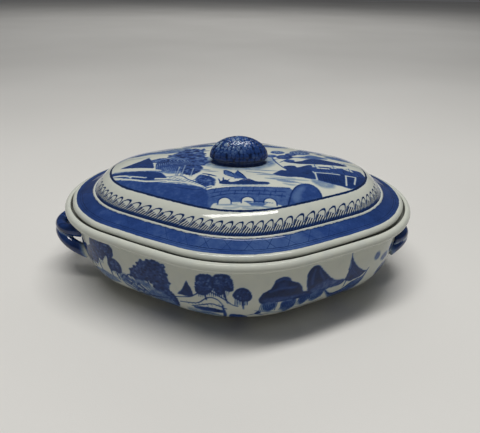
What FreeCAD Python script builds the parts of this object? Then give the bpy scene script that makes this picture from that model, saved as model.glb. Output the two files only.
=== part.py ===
import FreeCAD
import Part
import Sketcher
import math
import os

# A covered porcelain serving dish (soup or vegetable tureen) with an almond
# shaped plan: a deep dish with a rolled rim, a foot ring and two loop handles,
# and a domed cover that sits on a ledge inside the rim and is lifted by a
# berry knob.  Millimetres, +Z up, +X along the long axis; the origin is the
# middle of the plane that the foot ring stands on.

doc = FreeCAD.newDocument("CoveredDish")


# ---------------------------------------------------------------- dimensions

DRIVING = {
    # plan outline of the rim, as four kinds of tangent arc
    "rim_half_length": 140.0,
    "rim_half_width": 113.5,
    "broad_radius": 105.0,       # arcs at the middle of the two long sides
    "tip_radius": 87.0,          # arcs at the two ends
    "flank_radius": 705.0,       # the four nearly straight flanks between
    # dish
    "rim_top": 64.5,
    "roll_radius": 3.5,
    "wall": 5.0,
    "neck_inset": 8.0,           # outer wall inside the rim edge, under the roll
    "turn_inset": 42.0,          # how far the wall turns in at the foot
    "neck_level": 59.0,          # where the wall meets the roll
    "base_height": 5.0,          # underside of the floor above the table
    "floor": 5.0,
    "seat_inset": 5.0,           # inner face of the rim roll
    "seat_depth": 3.6,           # ledge for the cover, below the rim top
    "seat_gap": 0.2,             # between the ledge and the cover that lies on it
    "mouth_inset": 15.5,         # inner edge of the ledge
    "ledge": 4.0,
    "foot_inset": 37.0,
    "foot_wall": 6.0,
    # cover
    "lip_radius": 3.0,
    "lip_gap": 0.6,              # all round, between the cover and the rim roll
    "brim_inset": 23.0,          # foot of the dome
    "brim_rise": 7.6,            # measured from the middle of the lip
    "shoulder_inset": 37.5,
    "shoulder_rise": 20.6,
    "crown_rise": 28.2,
    "guide_gap": 1.2,            # locating ring inside the ledge
    "guide_wall": 4.0,
    "guide_drop": 6.0,           # below the bottom of the lip
    # knob
    "knob_half_length": 23.5,
    "knob_half_width": 14.8,
    "knob_height": 17.7,
    "stalk_half_length": 21.5,
    "stalk_half_width": 12.8,
    "stalk_height": 3.7,
    # handles: two strands that meet at the crown of a half loop
    "upper_span": 20.0,          # radius of the upper strand's half loop
    "lower_span": 24.0,
    "upper_tilt": 3.0,           # degrees, roots above the crown
    "lower_tilt": -27.0,
    "strand_split": 1.5,         # each strand's crown above or below the loop's
    "root_depth": 16.0,          # run into the wall before trimming
    "left_reach": 15.5,          # wall to the crown
    "left_strand": 4.4,          # radius of a strand
    "left_inset": 8.0,           # wall inside the rim edge at the loop
    "left_shift": 6.0,           # towards the front of the dish
    "left_yaw": 0.0,
    "left_drop": 25.5,           # crown below the rim top
    "right_reach": 8.8,
    "right_strand": 3.8,
    "right_inset": 12.0,
    "right_shift": 17.5,
    "right_yaw": 20.0,
    "right_drop": 27.0,
}

sheet = doc.addObject("Spreadsheet::Sheet", "sizes")
size = {}
row = 0


def add_size(alias, value):
    """Put one plain number in the sheet under its alias."""
    global row
    row += 1
    cell = "B%d" % row
    sheet.set("A%d" % row, alias)
    sheet.set(cell, "%.6f" % value)
    sheet.setAlias(cell, alias)
    size[alias] = value


for alias, value in DRIVING.items():
    add_size(alias, value)

NECK_Z = size["neck_level"]
FLOOR_Z = size["base_height"] + size["floor"]
ROLL_Z = size["rim_top"] - size["roll_radius"]
SEAT_Z = size["rim_top"] - size["seat_depth"]
LIP_Z = SEAT_Z + size["seat_gap"] + size["lip_radius"]
LIP_INSET = size["seat_inset"] + size["lip_gap"] + size["lip_radius"]
CROWN_Z = LIP_Z + size["crown_rise"]


# ------------------------------------------------------------------- helpers

def origin_plane(body, role):
    """One of the body's own origin planes, by role."""
    for feature in body.Origin.OriginFeatures:
        if feature.Role == role:
            return feature
    raise ValueError(role)


def new_body(label):
    body = doc.addObject("PartDesign::Body", label)
    body.Label = label
    return body


def new_sketch(body, name, role="XY_Plane"):
    sketch = body.newObject("Sketcher::SketchObject", name)
    sketch.AttachmentSupport = (origin_plane(body, role), [""])
    sketch.MapMode = "FlatFace"
    return sketch


def lift(sketch, name, height):
    """Raise a level sketch to a height that is kept in the sheet."""
    alias = name + "_level"
    add_size(alias, height)
    sketch.setExpression("AttachmentOffset.Base.z", "sizes." + alias)


def outline_arcs(inset):
    """Centre, radius, start and end angle of the eight tangent arcs, anticlockwise."""
    broad = size["broad_radius"] - inset
    tip = size["tip_radius"] - inset
    flank = size["flank_radius"] - inset
    broad_y = size["rim_half_width"] - size["broad_radius"]
    tip_x = size["rim_half_length"] - size["tip_radius"]
    # the flank centre is where both tangent conditions meet, in the far quadrant
    span = math.hypot(tip_x, broad_y)
    to_broad = flank - broad
    to_tip = flank - tip
    along = (to_broad ** 2 - to_tip ** 2 + span ** 2) / (2.0 * span)
    off = math.sqrt(to_broad ** 2 - along ** 2)
    ux, uy = tip_x / span, -broad_y / span
    cx = along * ux + off * uy
    cy = broad_y + along * uy - off * ux
    to_tip_angle = math.atan2(-cy, tip_x - cx)
    to_broad_angle = math.atan2(broad_y - cy, -cx)
    half = math.pi
    return [
        ((tip_x, 0.0), tip, -to_tip_angle, to_tip_angle),
        ((cx, cy), flank, to_tip_angle, to_broad_angle),
        ((0.0, broad_y), broad, to_broad_angle, half - to_broad_angle),
        ((-cx, cy), flank, half - to_broad_angle, half - to_tip_angle),
        ((-tip_x, 0.0), tip, half - to_tip_angle, half + to_tip_angle),
        ((-cx, -cy), flank, half + to_tip_angle, half + to_broad_angle),
        ((0.0, -broad_y), broad, half + to_broad_angle, 2 * half - to_broad_angle),
        ((cx, -cy), flank, 2 * half - to_broad_angle, 2 * half - to_tip_angle),
    ]


def almond(sketch, inset_alias):
    """Draw the rim outline, moved in parallel by an inset from the sheet, fully constrained."""
    inset = size[inset_alias]
    edges = []
    for (cx, cy), radius, start, end in outline_arcs(inset):
        circle = Part.Circle(FreeCAD.Vector(cx, cy, 0), FreeCAD.Vector(0, 0, 1), radius)
        edges.append(sketch.addGeometry(Part.ArcOfCircle(circle, start, end), False))
    for first, second in zip(edges, edges[1:] + edges[:1]):
        sketch.addConstraint(Sketcher.Constraint("Tangent", first, 2, second, 1))
    named = {0: "tip_radius", 4: "tip_radius", 2: "broad_radius", 6: "broad_radius"}
    for number, edge in enumerate(edges):
        alias = named.get(number, "flank_radius")
        index = sketch.addConstraint(Sketcher.Constraint("Radius", edge, size[alias] - inset))
        sketch.setExpression("Constraints[%d]" % index, "sizes.%s - sizes.%s" % (alias, inset_alias))
    tip_x = size["rim_half_length"] - size["tip_radius"]
    broad_y = size["rim_half_width"] - size["broad_radius"]
    centres = [
        (edges[0], tip_x, 0.0),
        (edges[4], -tip_x, 0.0),
        (edges[2], 0.0, broad_y),
        (edges[6], 0.0, -broad_y),
    ]
    for edge, x, y in centres:
        if x:
            sketch.addConstraint(Sketcher.Constraint("PointOnObject", edge, 3, -1))
            index = sketch.addConstraint(Sketcher.Constraint("DistanceX", -1, 1, edge, 3, x))
            rule = "sizes.rim_half_length - sizes.tip_radius"
            sketch.setExpression("Constraints[%d]" % index, rule if x > 0 else "-(%s)" % rule)
        else:
            sketch.addConstraint(Sketcher.Constraint("PointOnObject", edge, 3, -2))
            index = sketch.addConstraint(Sketcher.Constraint("DistanceY", -1, 1, edge, 3, y))
            rule = "sizes.rim_half_width - sizes.broad_radius"
            sketch.setExpression("Constraints[%d]" % index, rule if y > 0 else "-(%s)" % rule)
    return sketch


def level_outline(body, name, inset, height):
    """An almond outline at one height; its inset and level go in the sheet."""
    add_size(name + "_inset", inset)
    sketch = almond(new_sketch(body, name), name + "_inset")
    lift(sketch, name, height)
    return sketch


def loft(body, name, sections, cut=False, ruled=False):
    """Skin a stack of (inset, height) outlines, adding or removing material."""
    kind = "PartDesign::SubtractiveLoft" if cut else "PartDesign::AdditiveLoft"
    outlines = []
    for number, (inset, height) in enumerate(sections):
        outlines.append(level_outline(body, "%s_%d" % (name, number), inset, height))
    feature = body.newObject(kind, name)
    feature.Profile = outlines[0]
    feature.Sections = outlines[1:]
    feature.Ruled = ruled
    return feature


def ellipse_sketch(body, name, long_alias, short_alias, role="XY_Plane"):
    """An ellipse on the origin with both half axes bound to the sheet."""
    sketch = new_sketch(body, name, role)
    half_long = size[long_alias]
    half_short = size[short_alias]
    centre = FreeCAD.Vector(0, 0, 0)
    ellipse = Part.Ellipse(FreeCAD.Vector(half_long, 0, 0), FreeCAD.Vector(0, half_short, 0), centre)
    edge = sketch.addGeometry(ellipse, False)
    sketch.exposeInternalGeometry(edge)
    major = edge + 1
    minor = edge + 2
    sketch.addConstraint(Sketcher.Constraint("Coincident", edge, 3, -1, 1))
    sketch.addConstraint(Sketcher.Constraint("Horizontal", major))
    for line, kind, alias in ((major, "DistanceX", long_alias), (minor, "DistanceY", short_alias)):
        start = sketch.Geometry[line].StartPoint
        end = sketch.Geometry[line].EndPoint
        forward = (end.x - start.x) + (end.y - start.y) > 0
        ends = (line, 1, line, 2) if forward else (line, 2, line, 1)
        index = sketch.addConstraint(Sketcher.Constraint(kind, *ends, 2 * size[alias]))
        sketch.setExpression("Constraints[%d]" % index, "2 * sizes." + alias)
    return sketch


def wall_profile(inset, turned_inset, top, bottom, shares):
    """Outline stations of the dish wall: steep at first, then turned in under the floor."""
    stations = []
    for share in shares:
        turned = 1.0 - (1.0 - share ** 2.7) ** (1.0 / 3.4)
        stations.append((inset + (turned_inset - inset) * turned, top - share * (top - bottom)))
    return stations


def prism(body, name, inset_alias, bottom, top, cut=False):
    """Add or remove everything inside one outline between two heights."""
    outline = almond(new_sketch(body, name + "_outline"), inset_alias)
    lift(outline, name + "_outline", bottom)
    feature = body.newObject("PartDesign::Pocket" if cut else "PartDesign::Pad", name)
    feature.Profile = outline
    feature.Reversed = cut
    add_size(name + "_height", top - bottom)
    feature.setExpression("Length", "sizes." + name + "_height")
    return feature


def ring(body, name, outer_alias, inner_alias, bottom, top):
    """A wall between two parallel outlines."""
    outline = almond(new_sketch(body, name + "_outline"), outer_alias)
    almond(outline, inner_alias)
    lift(outline, name + "_outline", bottom)
    feature = body.newObject("PartDesign::Pad", name)
    feature.Profile = outline
    add_size(name + "_height", top - bottom)
    feature.setExpression("Length", "sizes." + name + "_height")
    return feature


def bead(body, name, inset_alias, radius_alias, height):
    """A round bead swept once round the outline."""
    path = almond(new_sketch(body, name + "_path"), inset_alias)
    lift(path, name + "_path", height)
    section = new_sketch(body, name + "_section", "YZ_Plane")
    middle = size["rim_half_width"] - size[inset_alias]
    circle = Part.Circle(FreeCAD.Vector(middle, height, 0), FreeCAD.Vector(0, 0, 1), size[radius_alias])
    edge = section.addGeometry(circle, False)
    rules = [
        (Sketcher.Constraint("Radius", edge, size[radius_alias]), "sizes." + radius_alias),
        (Sketcher.Constraint("DistanceX", -1, 1, edge, 3, middle), "sizes.rim_half_width - sizes." + inset_alias),
        (Sketcher.Constraint("DistanceY", -1, 1, edge, 3, height), "sizes." + name + "_path_level"),
    ]
    for constraint, rule in rules:
        index = section.addConstraint(constraint)
        section.setExpression("Constraints[%d]" % index, rule)
    sweep = body.newObject("PartDesign::AdditivePipe", name)
    sweep.Profile = section
    sweep.Spine = path
    return sweep


def trimmed(label, blank, neighbour):
    """The blank cut back to the surface of the piece that it is luted to."""
    cut = doc.addObject("Part::Cut", label)
    cut.Base = blank
    cut.Tool = neighbour
    cut.Label = label
    return cut


# ----------------------------------------------------------------- the dish

def make_dish_body():
    """Press-moulded dish: steep wall, flat floor, rolled rim and the ledge for the cover."""
    body = new_body("dish_body")
    outer = wall_profile(size["neck_inset"], size["turn_inset"], NECK_Z, size["base_height"],
                         (0.0, 0.22, 0.42, 0.6, 0.75, 0.87, 0.95))
    outer.append((size["foot_inset"] - size["foot_wall"], size["base_height"]))
    loft(body, "outer_wall", outer)
    add_size("roll_inset", size["roll_radius"])
    prism(body, "rim_band", "roll_inset", ROLL_Z - size["roll_radius"] + 0.1, size["rim_top"])
    bead(body, "rim_roll", "roll_inset", "roll_radius", ROLL_Z)
    inner = wall_profile(size["neck_inset"] + size["wall"], size["turn_inset"] - 2.0,
                         SEAT_Z - size["ledge"], FLOOR_Z, (0.0, 0.25, 0.5, 0.7, 0.85, 0.95, 1.0))
    loft(body, "hollow", inner, cut=True)
    prism(body, "mouth", "mouth_inset", SEAT_Z - size["ledge"] - 0.5, size["rim_top"] + 1.0, cut=True)
    prism(body, "seat", "seat_inset", SEAT_Z, size["rim_top"] + 1.0, cut=True)
    return body


def make_foot_ring():
    """Turned foot, an almond ring under the floor."""
    body = new_body("foot_ring")
    add_size("foot_inner_inset", size["foot_inset"] + size["foot_wall"])
    ring(body, "foot_wall_ring", "foot_inset", "foot_inner_inset", 0.0, size["base_height"])
    return body


def strand(body, side_name, level, span_alias, tilt_alias, split):
    """One strand of a loop handle, a round rod bent round from wall to wall through the crown."""
    name = "%s_%s" % (level, side_name)
    span = size[span_alias]
    reach = size[side_name + "_reach"] + size["root_depth"]
    turn = math.acos(max(-1.0, 1.0 - reach / span))
    path = new_sketch(body, "path_" + name)
    tilt = FreeCAD.Rotation(FreeCAD.Vector(0, 1, 0), size[tilt_alias])
    path.AttachmentOffset = FreeCAD.Placement(FreeCAD.Vector(0, 0, split), tilt)
    circle = Part.Circle(FreeCAD.Vector(-span, 0, 0), FreeCAD.Vector(0, 0, 1), span)
    arc = path.addGeometry(Part.ArcOfCircle(circle, -turn, turn), False)
    path.addConstraint(Sketcher.Constraint("PointOnObject", arc, 3, -1))
    path.addConstraint(Sketcher.Constraint("Symmetric", arc, 1, arc, 2, -1))
    root = "-(sizes.%s_reach + sizes.root_depth)" % side_name
    rules = [
        (Sketcher.Constraint("Radius", arc, span), "sizes." + span_alias),
        (Sketcher.Constraint("DistanceX", -1, 1, arc, 3, -span), "-sizes." + span_alias),
        (Sketcher.Constraint("DistanceX", -1, 1, arc, 1, -reach), root),
    ]
    for constraint, rule in rules:
        index = path.addConstraint(constraint)
        path.setExpression("Constraints[%d]" % index, rule)
    section = new_sketch(body, "section_" + name, "XZ_Plane")
    radius = size[side_name + "_strand"]
    rod = Part.Circle(FreeCAD.Vector(0, split, 0), FreeCAD.Vector(0, 0, 1), radius)
    edge = section.addGeometry(rod, False)
    section.addConstraint(Sketcher.Constraint("PointOnObject", edge, 3, -2))
    index = section.addConstraint(Sketcher.Constraint("Radius", edge, radius))
    section.setExpression("Constraints[%d]" % index, "sizes.%s_strand" % side_name)
    index = section.addConstraint(Sketcher.Constraint("DistanceY", -1, 1, edge, 3, split))
    section.setExpression("Constraints[%d]" % index, "%ssizes.strand_split" % ("-" if split < 0 else ""))
    sweep = body.newObject("PartDesign::AdditivePipe", "sweep_" + name)
    sweep.Profile = section
    sweep.Spine = path


def make_handle(side):
    """Two strands that meet at the crown, trimmed where they are luted to the wall; side is -1 or +1."""
    name = "left" if side < 0 else "right"
    body = new_body("loop_" + name)
    strand(body, name, "upper", "upper_span", "upper_tilt", size["strand_split"])
    strand(body, name, "lower", "lower_span", "lower_tilt", -size["strand_split"])
    crown = size["rim_half_length"] - size[name + "_inset"] + size[name + "_reach"]
    place = FreeCAD.Vector(side * crown, -size[name + "_shift"], size["rim_top"] - size[name + "_drop"])
    facing = 180.0 if side < 0 else 0.0
    turn = FreeCAD.Rotation(FreeCAD.Vector(0, 0, 1), facing + side * -size[name + "_yaw"])
    body.Placement = FreeCAD.Placement(place, turn)
    return trimmed("handle_" + name, body, doc.getObject("outer_wall"))


# ---------------------------------------------------------------- the cover

def make_cover_shell():
    """Domed cover: rounded lip, sloping brim, raised ridge, steep shoulder and low crown."""
    body = new_body("cover_shell")
    add_size("lip_inset", LIP_INSET)
    lip = size["lip_radius"]
    prism(body, "lip_disc", "lip_inset", LIP_Z - lip, LIP_Z + lip - 0.2)
    bead(body, "lip", "lip_inset", "lip_radius", LIP_Z)
    loft(body, "brim", [(LIP_INSET, LIP_Z + lip - 0.4), (size["brim_inset"], LIP_Z + size["brim_rise"])],
         ruled=True)
    shoulder = [(size["brim_inset"] + 0.5, size["brim_rise"] - 1.0), (26.6, 11.4), (31.3, 16.7)]
    shoulder.append((size["shoulder_inset"], size["shoulder_rise"]))
    loft(body, "shoulder", [(inset, LIP_Z + rise) for inset, rise in shoulder])
    crown = [(size["shoulder_inset"], size["shoulder_rise"]), (48.0, 24.2), (60.0, 26.6), (72.0, 27.8)]
    crown.append((80.0, size["crown_rise"]))
    loft(body, "crown", [(inset, LIP_Z + rise) for inset, rise in crown])
    add_size("ridge_inset", size["brim_inset"] + 0.6)
    add_size("ridge_radius", 1.0)
    bead(body, "ridge", "ridge_inset", "ridge_radius", LIP_Z + size["brim_rise"])
    hollow = [(13.5, -lip - 0.5), (16.0, 0.2), (25.5, 3.4), (29.5, 8.6), (35.0, 13.4), (42.0, 17.0)]
    hollow += [(52.0, 20.0), (66.0, 22.4), (80.0, 23.2)]
    loft(body, "underside", [(inset, LIP_Z + rise) for inset, rise in hollow], cut=True)
    return body


def make_locating_ring(cover):
    """Low wall under the cover that keeps it centred in the mouth of the dish."""
    body = new_body("locating_blank")
    add_size("guide_outer_inset", size["mouth_inset"] + size["guide_gap"])
    add_size("guide_inner_inset", size["mouth_inset"] + size["guide_gap"] + size["guide_wall"])
    bottom = LIP_Z - size["lip_radius"] - size["guide_drop"]
    ring(body, "locating_wall", "guide_outer_inset", "guide_inner_inset", bottom, LIP_Z + 3.0)
    return trimmed("locating_ring", body, cover)


def make_knob_stalk():
    """Short oval neck between the crown and the berry."""
    body = new_body("knob_stalk")
    outline = ellipse_sketch(body, "stalk_outline", "stalk_half_length", "stalk_half_width")
    lift(outline, "stalk_outline", CROWN_Z)
    pad = body.newObject("PartDesign::Pad", "stalk_pad")
    pad.Profile = outline
    pad.setExpression("Length", "sizes.stalk_height")
    return body


def make_knob():
    """Moulded berry, half an oval dome with a flat underside."""
    body = new_body("knob")
    dome = body.newObject("PartDesign::AdditiveEllipsoid", "berry")
    dome.setExpression("Radius1", "sizes.knob_height")
    dome.setExpression("Radius2", "sizes.knob_half_length")
    dome.setExpression("Radius3", "sizes.knob_half_width")
    dome.Angle1 = 0.0
    dome.Angle2 = 90.0
    dome.Angle3 = 360.0
    add_size("knob_level", CROWN_Z + size["stalk_height"])
    dome.setExpression("Placement.Base.z", "sizes.knob_level")
    return body


# ------------------------------------------------------------------ assembly

def check(objects):
    """Stop when anything in the document is broken or empty."""
    for item in doc.Objects:
        if "Invalid" in item.State or "Error" in item.State:
            raise RuntimeError("%s: %s" % (item.Name, item.State))
    for item in objects:
        if item.Shape.isNull() or not item.Shape.isValid() or len(item.Shape.Solids) != 1:
            raise RuntimeError("bad shape: " + item.Label)


dish_body = make_dish_body()
cover_shell = make_cover_shell()
pieces = [
    dish_body,
    make_foot_ring(),
    make_handle(-1),
    make_handle(+1),
    cover_shell,
    make_locating_ring(cover_shell),
    make_knob_stalk(),
    make_knob(),
]
doc.recompute()
check(pieces)

os.makedirs("parts", exist_ok=True)
for piece in pieces:
    piece.Shape.exportStep("parts/%s.step" % piece.Label)
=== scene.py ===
import math

import bpy
import numpy as np
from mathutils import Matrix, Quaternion, Vector


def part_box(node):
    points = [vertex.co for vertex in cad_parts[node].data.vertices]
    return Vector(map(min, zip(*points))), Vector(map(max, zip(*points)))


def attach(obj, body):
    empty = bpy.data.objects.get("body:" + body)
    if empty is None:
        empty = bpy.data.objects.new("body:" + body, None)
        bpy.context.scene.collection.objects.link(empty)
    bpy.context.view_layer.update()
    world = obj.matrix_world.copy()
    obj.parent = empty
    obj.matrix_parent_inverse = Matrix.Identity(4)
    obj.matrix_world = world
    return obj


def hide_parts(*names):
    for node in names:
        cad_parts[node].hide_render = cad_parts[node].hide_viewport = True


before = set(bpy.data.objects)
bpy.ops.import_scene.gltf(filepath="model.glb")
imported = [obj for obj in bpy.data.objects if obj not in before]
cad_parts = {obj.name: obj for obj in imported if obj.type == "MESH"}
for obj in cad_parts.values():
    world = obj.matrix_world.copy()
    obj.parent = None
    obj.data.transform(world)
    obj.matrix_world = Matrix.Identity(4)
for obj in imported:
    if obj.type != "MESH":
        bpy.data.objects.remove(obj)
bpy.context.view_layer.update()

# Blue-and-white porcelain covered dish around its CAD frame.  Lengths in this
# script are millimetres in the frame's axes; MM turns them into metres when a
# mesh, light or camera is made.

MM = 0.001
rng = np.random.default_rng(11)


def box_mm(node):
    low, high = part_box(node)
    return np.array(low) / MM, np.array(high) / MM


# ------------------------------------------------------------- plan outline

DISH_LOW, DISH_HIGH = box_mm("dish_body")
COVER_LOW, COVER_HIGH = box_mm("cover_shell")
KNOB_LOW, KNOB_HIGH = box_mm("knob")
STALK_LOW, STALK_HIGH = box_mm("knob_stalk")
GUIDE_LOW = box_mm("locating_ring")[0]

HALF_LENGTH = DISH_HIGH[0]
HALF_WIDTH = DISH_HIGH[1]
BROAD_RADIUS = 105.0
TIP_RADIUS = 87.0
FLANK_RADIUS = 705.0
RIM_TOP = DISH_HIGH[2]
BASE_Z = DISH_LOW[2]
LIP_RADIUS = 3.0
LIP_Z = COVER_LOW[2] + LIP_RADIUS
SEAT_Z = COVER_LOW[2] - 0.2


class Outline:
    """The almond plan of the rim: eight tangent arcs, walked anticlockwise from the back middle."""

    def __init__(self):
        tip_x = HALF_LENGTH - TIP_RADIUS
        broad_y = HALF_WIDTH - BROAD_RADIUS
        span = math.hypot(tip_x, broad_y)
        to_broad = FLANK_RADIUS - BROAD_RADIUS
        to_tip = FLANK_RADIUS - TIP_RADIUS
        along = (to_broad ** 2 - to_tip ** 2 + span ** 2) / (2 * span)
        off = math.sqrt(to_broad ** 2 - along ** 2)
        ux, uy = tip_x / span, -broad_y / span
        cx = along * ux + off * uy
        cy = broad_y + along * uy - off * ux
        tip_turn = math.atan2(-cy, tip_x - cx)
        broad_turn = math.atan2(broad_y - cy, -cx)
        half = math.pi
        self.arcs = [
            (0, broad_y, BROAD_RADIUS, half / 2, half - broad_turn),
            (-cx, cy, FLANK_RADIUS, half - broad_turn, half - tip_turn),
            (-tip_x, 0, TIP_RADIUS, half - tip_turn, half + tip_turn),
            (-cx, -cy, FLANK_RADIUS, half + tip_turn, half + broad_turn),
            (0, -broad_y, BROAD_RADIUS, half + broad_turn, 2 * half - broad_turn),
            (cx, -cy, FLANK_RADIUS, 2 * half - broad_turn, 2 * half - tip_turn),
            (tip_x, 0, TIP_RADIUS, -tip_turn, tip_turn),
            (cx, cy, FLANK_RADIUS, tip_turn, broad_turn),
            (0, broad_y, BROAD_RADIUS, broad_turn, half / 2),
        ]
        lengths = [arc[2] * (arc[4] - arc[3]) for arc in self.arcs]
        self.ends = np.cumsum([0.0] + lengths)
        self.length = self.ends[-1]

    def at(self, along):
        """Arc centre, radius and outward angle at distances right of the front middle."""
        walk = (np.asarray(along, float) + self.length / 2) % self.length
        index = np.clip(np.searchsorted(self.ends, walk, side="right") - 1, 0, len(self.arcs) - 1)
        table = np.array(self.arcs)[index]
        turn = table[:, 3] + (walk - self.ends[index]) / table[:, 2]
        return table[:, 0], table[:, 1], table[:, 2], turn


OUTLINE = Outline()


def curve(points, counts):
    """Points of a smooth curve through all but the first and last two points; counts says how many
    a span gets."""
    out = []
    for a, b, c, d, count in zip(points, points[1:], points[2:], points[3:], counts):
        for t in np.arange(count) / count:
            out.append(0.5 * (2 * b + (c - a) * t + (2 * a - 5 * b + 4 * c - d) * t ** 2
                              + (3 * b - a - 3 * c + d) * t ** 3))
    return out


def open_curve(points, counts):
    """The same from the first point to the last, both included."""
    longer = np.vstack([2 * points[0] - points[1], points, 2 * points[-1] - points[-2]])
    return np.array(curve(longer, counts) + [points[-1]])


def smooth_path(points, step):
    """A rounded path through a few given profile points, sampled about every step."""
    points = np.array(points, float)
    spans = np.linalg.norm(np.diff(points[:, :2], axis=0), axis=1)
    return open_curve(points, np.maximum(1, np.ceil(spans / step)).astype(int))


def arc_path(inset, z, radius, start, end, count):
    """Profile points round a bead; angle 0 points outwards, 90 degrees up."""
    turn = np.radians(np.linspace(start, end, count))
    return np.column_stack([inset - radius * np.cos(turn), z + radius * np.sin(turn)])


# ------------------------------------------------------------ mesh building

def band_faces(low, high, columns):
    """Quads between two rings of vertices that start at low and high."""
    column = np.arange(columns)
    after = (column + 1) % columns
    return np.column_stack([low + column, low + after, high + after, high + column]).tolist()


def fan_faces(point, ring, columns, upward):
    """Triangles between a ring that starts at ring and one vertex below (upward) or above it."""
    column = ring + np.arange(columns)
    after = ring + (np.arange(columns) + 1) % columns
    middle = np.full(columns, point)
    corners = [middle, after, column] if upward else [column, after, middle]
    return np.column_stack(corners).tolist()


def rod_faces(rows, columns):
    """Quads between rows of vertices, with a cap at each end."""
    faces = []
    for row in range(rows - 1):
        faces += band_faces(row * columns, (row + 1) * columns, columns)
    faces.append(list(range(columns))[::-1])
    faces.append([(rows - 1) * columns + column for column in range(columns)])
    return faces


def new_object(name, vertices, faces):
    mesh = bpy.data.meshes.new(name)
    mesh.from_pydata((np.asarray(vertices) * MM).tolist(), [], faces)
    mesh.validate()
    mesh.polygons.foreach_set("use_smooth", np.ones(len(mesh.polygons), bool))
    mesh.update()
    piece = bpy.data.objects.new(name, mesh)
    bpy.context.scene.collection.objects.link(piece)
    return piece


def set_values(piece, name, values):
    """A float per vertex, which the materials read by name."""
    layer = piece.data.attributes.new(name, "FLOAT", "POINT")
    layer.data.foreach_set("value", np.asarray(values, np.float32))


class Skin:
    """A surface swept round the outline: one ring of vertices for each profile station.

    A station is (inset, z, scale): the rim outline moved in by inset, then scaled about the
    middle.  A ring at scale 0 is one vertex.
    """

    def __init__(self, name, stations, columns, wobble=None, cyclic=False):
        stations = np.array(stations, float)
        along = np.arange(columns) * OUTLINE.length / columns - OUTLINE.length / 2
        cx, cy, radius, turn = OUTLINE.at(along)
        rings, starts, count = [], [], 0
        for inset, z, scale in stations:
            ring = np.zeros((columns, 5))
            reach = radius - inset
            ring[:, 0] = (cx + reach * np.cos(turn)) * scale
            ring[:, 1] = (cy + reach * np.sin(turn)) * scale
            ring[:, 2] = z
            ring[:, 3] = inset
            ring[:, 4] = along
            if wobble:
                sway, rise = wobble(along, inset, z)
                ring[:, 0] += sway * np.cos(turn)
                ring[:, 1] += sway * np.sin(turn)
                ring[:, 2] += rise
            if scale < 1e-6:
                ring = ring[:1]
            rings.append(ring)
            starts.append(count)
            count += len(ring)
        data = np.vstack(rings)
        self.x, self.y, self.z, self.inset, self.along = data.T
        faces = []
        last = len(stations) if cyclic else len(stations) - 1
        for low in range(last):
            high = (low + 1) % len(stations)
            if len(rings[low]) == 1:
                faces += fan_faces(starts[low], starts[high], columns, upward=True)
            elif len(rings[high]) == 1:
                faces += fan_faces(starts[high], starts[low], columns, upward=False)
            else:
                faces += band_faces(starts[low], starts[high], columns)
        self.piece = new_object(name, data[:, :3], faces)
        lap = 2 * math.pi * self.along / OUTLINE.length
        set_values(self.piece, "lap_cos", np.cos(lap))
        set_values(self.piece, "lap_sin", np.sin(lap))
        set_values(self.piece, "inset", self.inset)


# ------------------------------------------------------------------ painting

def value_noise(x, y, seed):
    """Smooth noise between 0 and 1 with cells one unit wide."""
    xi, yi = np.floor(x), np.floor(y)
    fx, fy = x - xi, y - yi
    fx, fy = fx * fx * (3 - 2 * fx), fy * fy * (3 - 2 * fy)

    def corner(i, j):
        mixed = np.sin(i * 127.1 + j * 311.7 + seed * 74.7) * 43758.5453
        return mixed - np.floor(mixed)

    low = corner(xi, yi) * (1 - fx) + corner(xi + 1, yi) * fx
    high = corner(xi, yi + 1) * (1 - fx) + corner(xi + 1, yi + 1) * fx
    return low * (1 - fy) + high * fy


def rounded(points, closed, steps=5):
    """A brush path through given points, rounded at each of them."""
    points = np.array(points, float)
    if len(points) < 3:
        return points
    if closed:
        return np.array(curve(np.vstack([points[-1:], points, points[:2]]), [steps] * len(points)))
    return open_curve(points, [steps] * (len(points) - 1))


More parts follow.
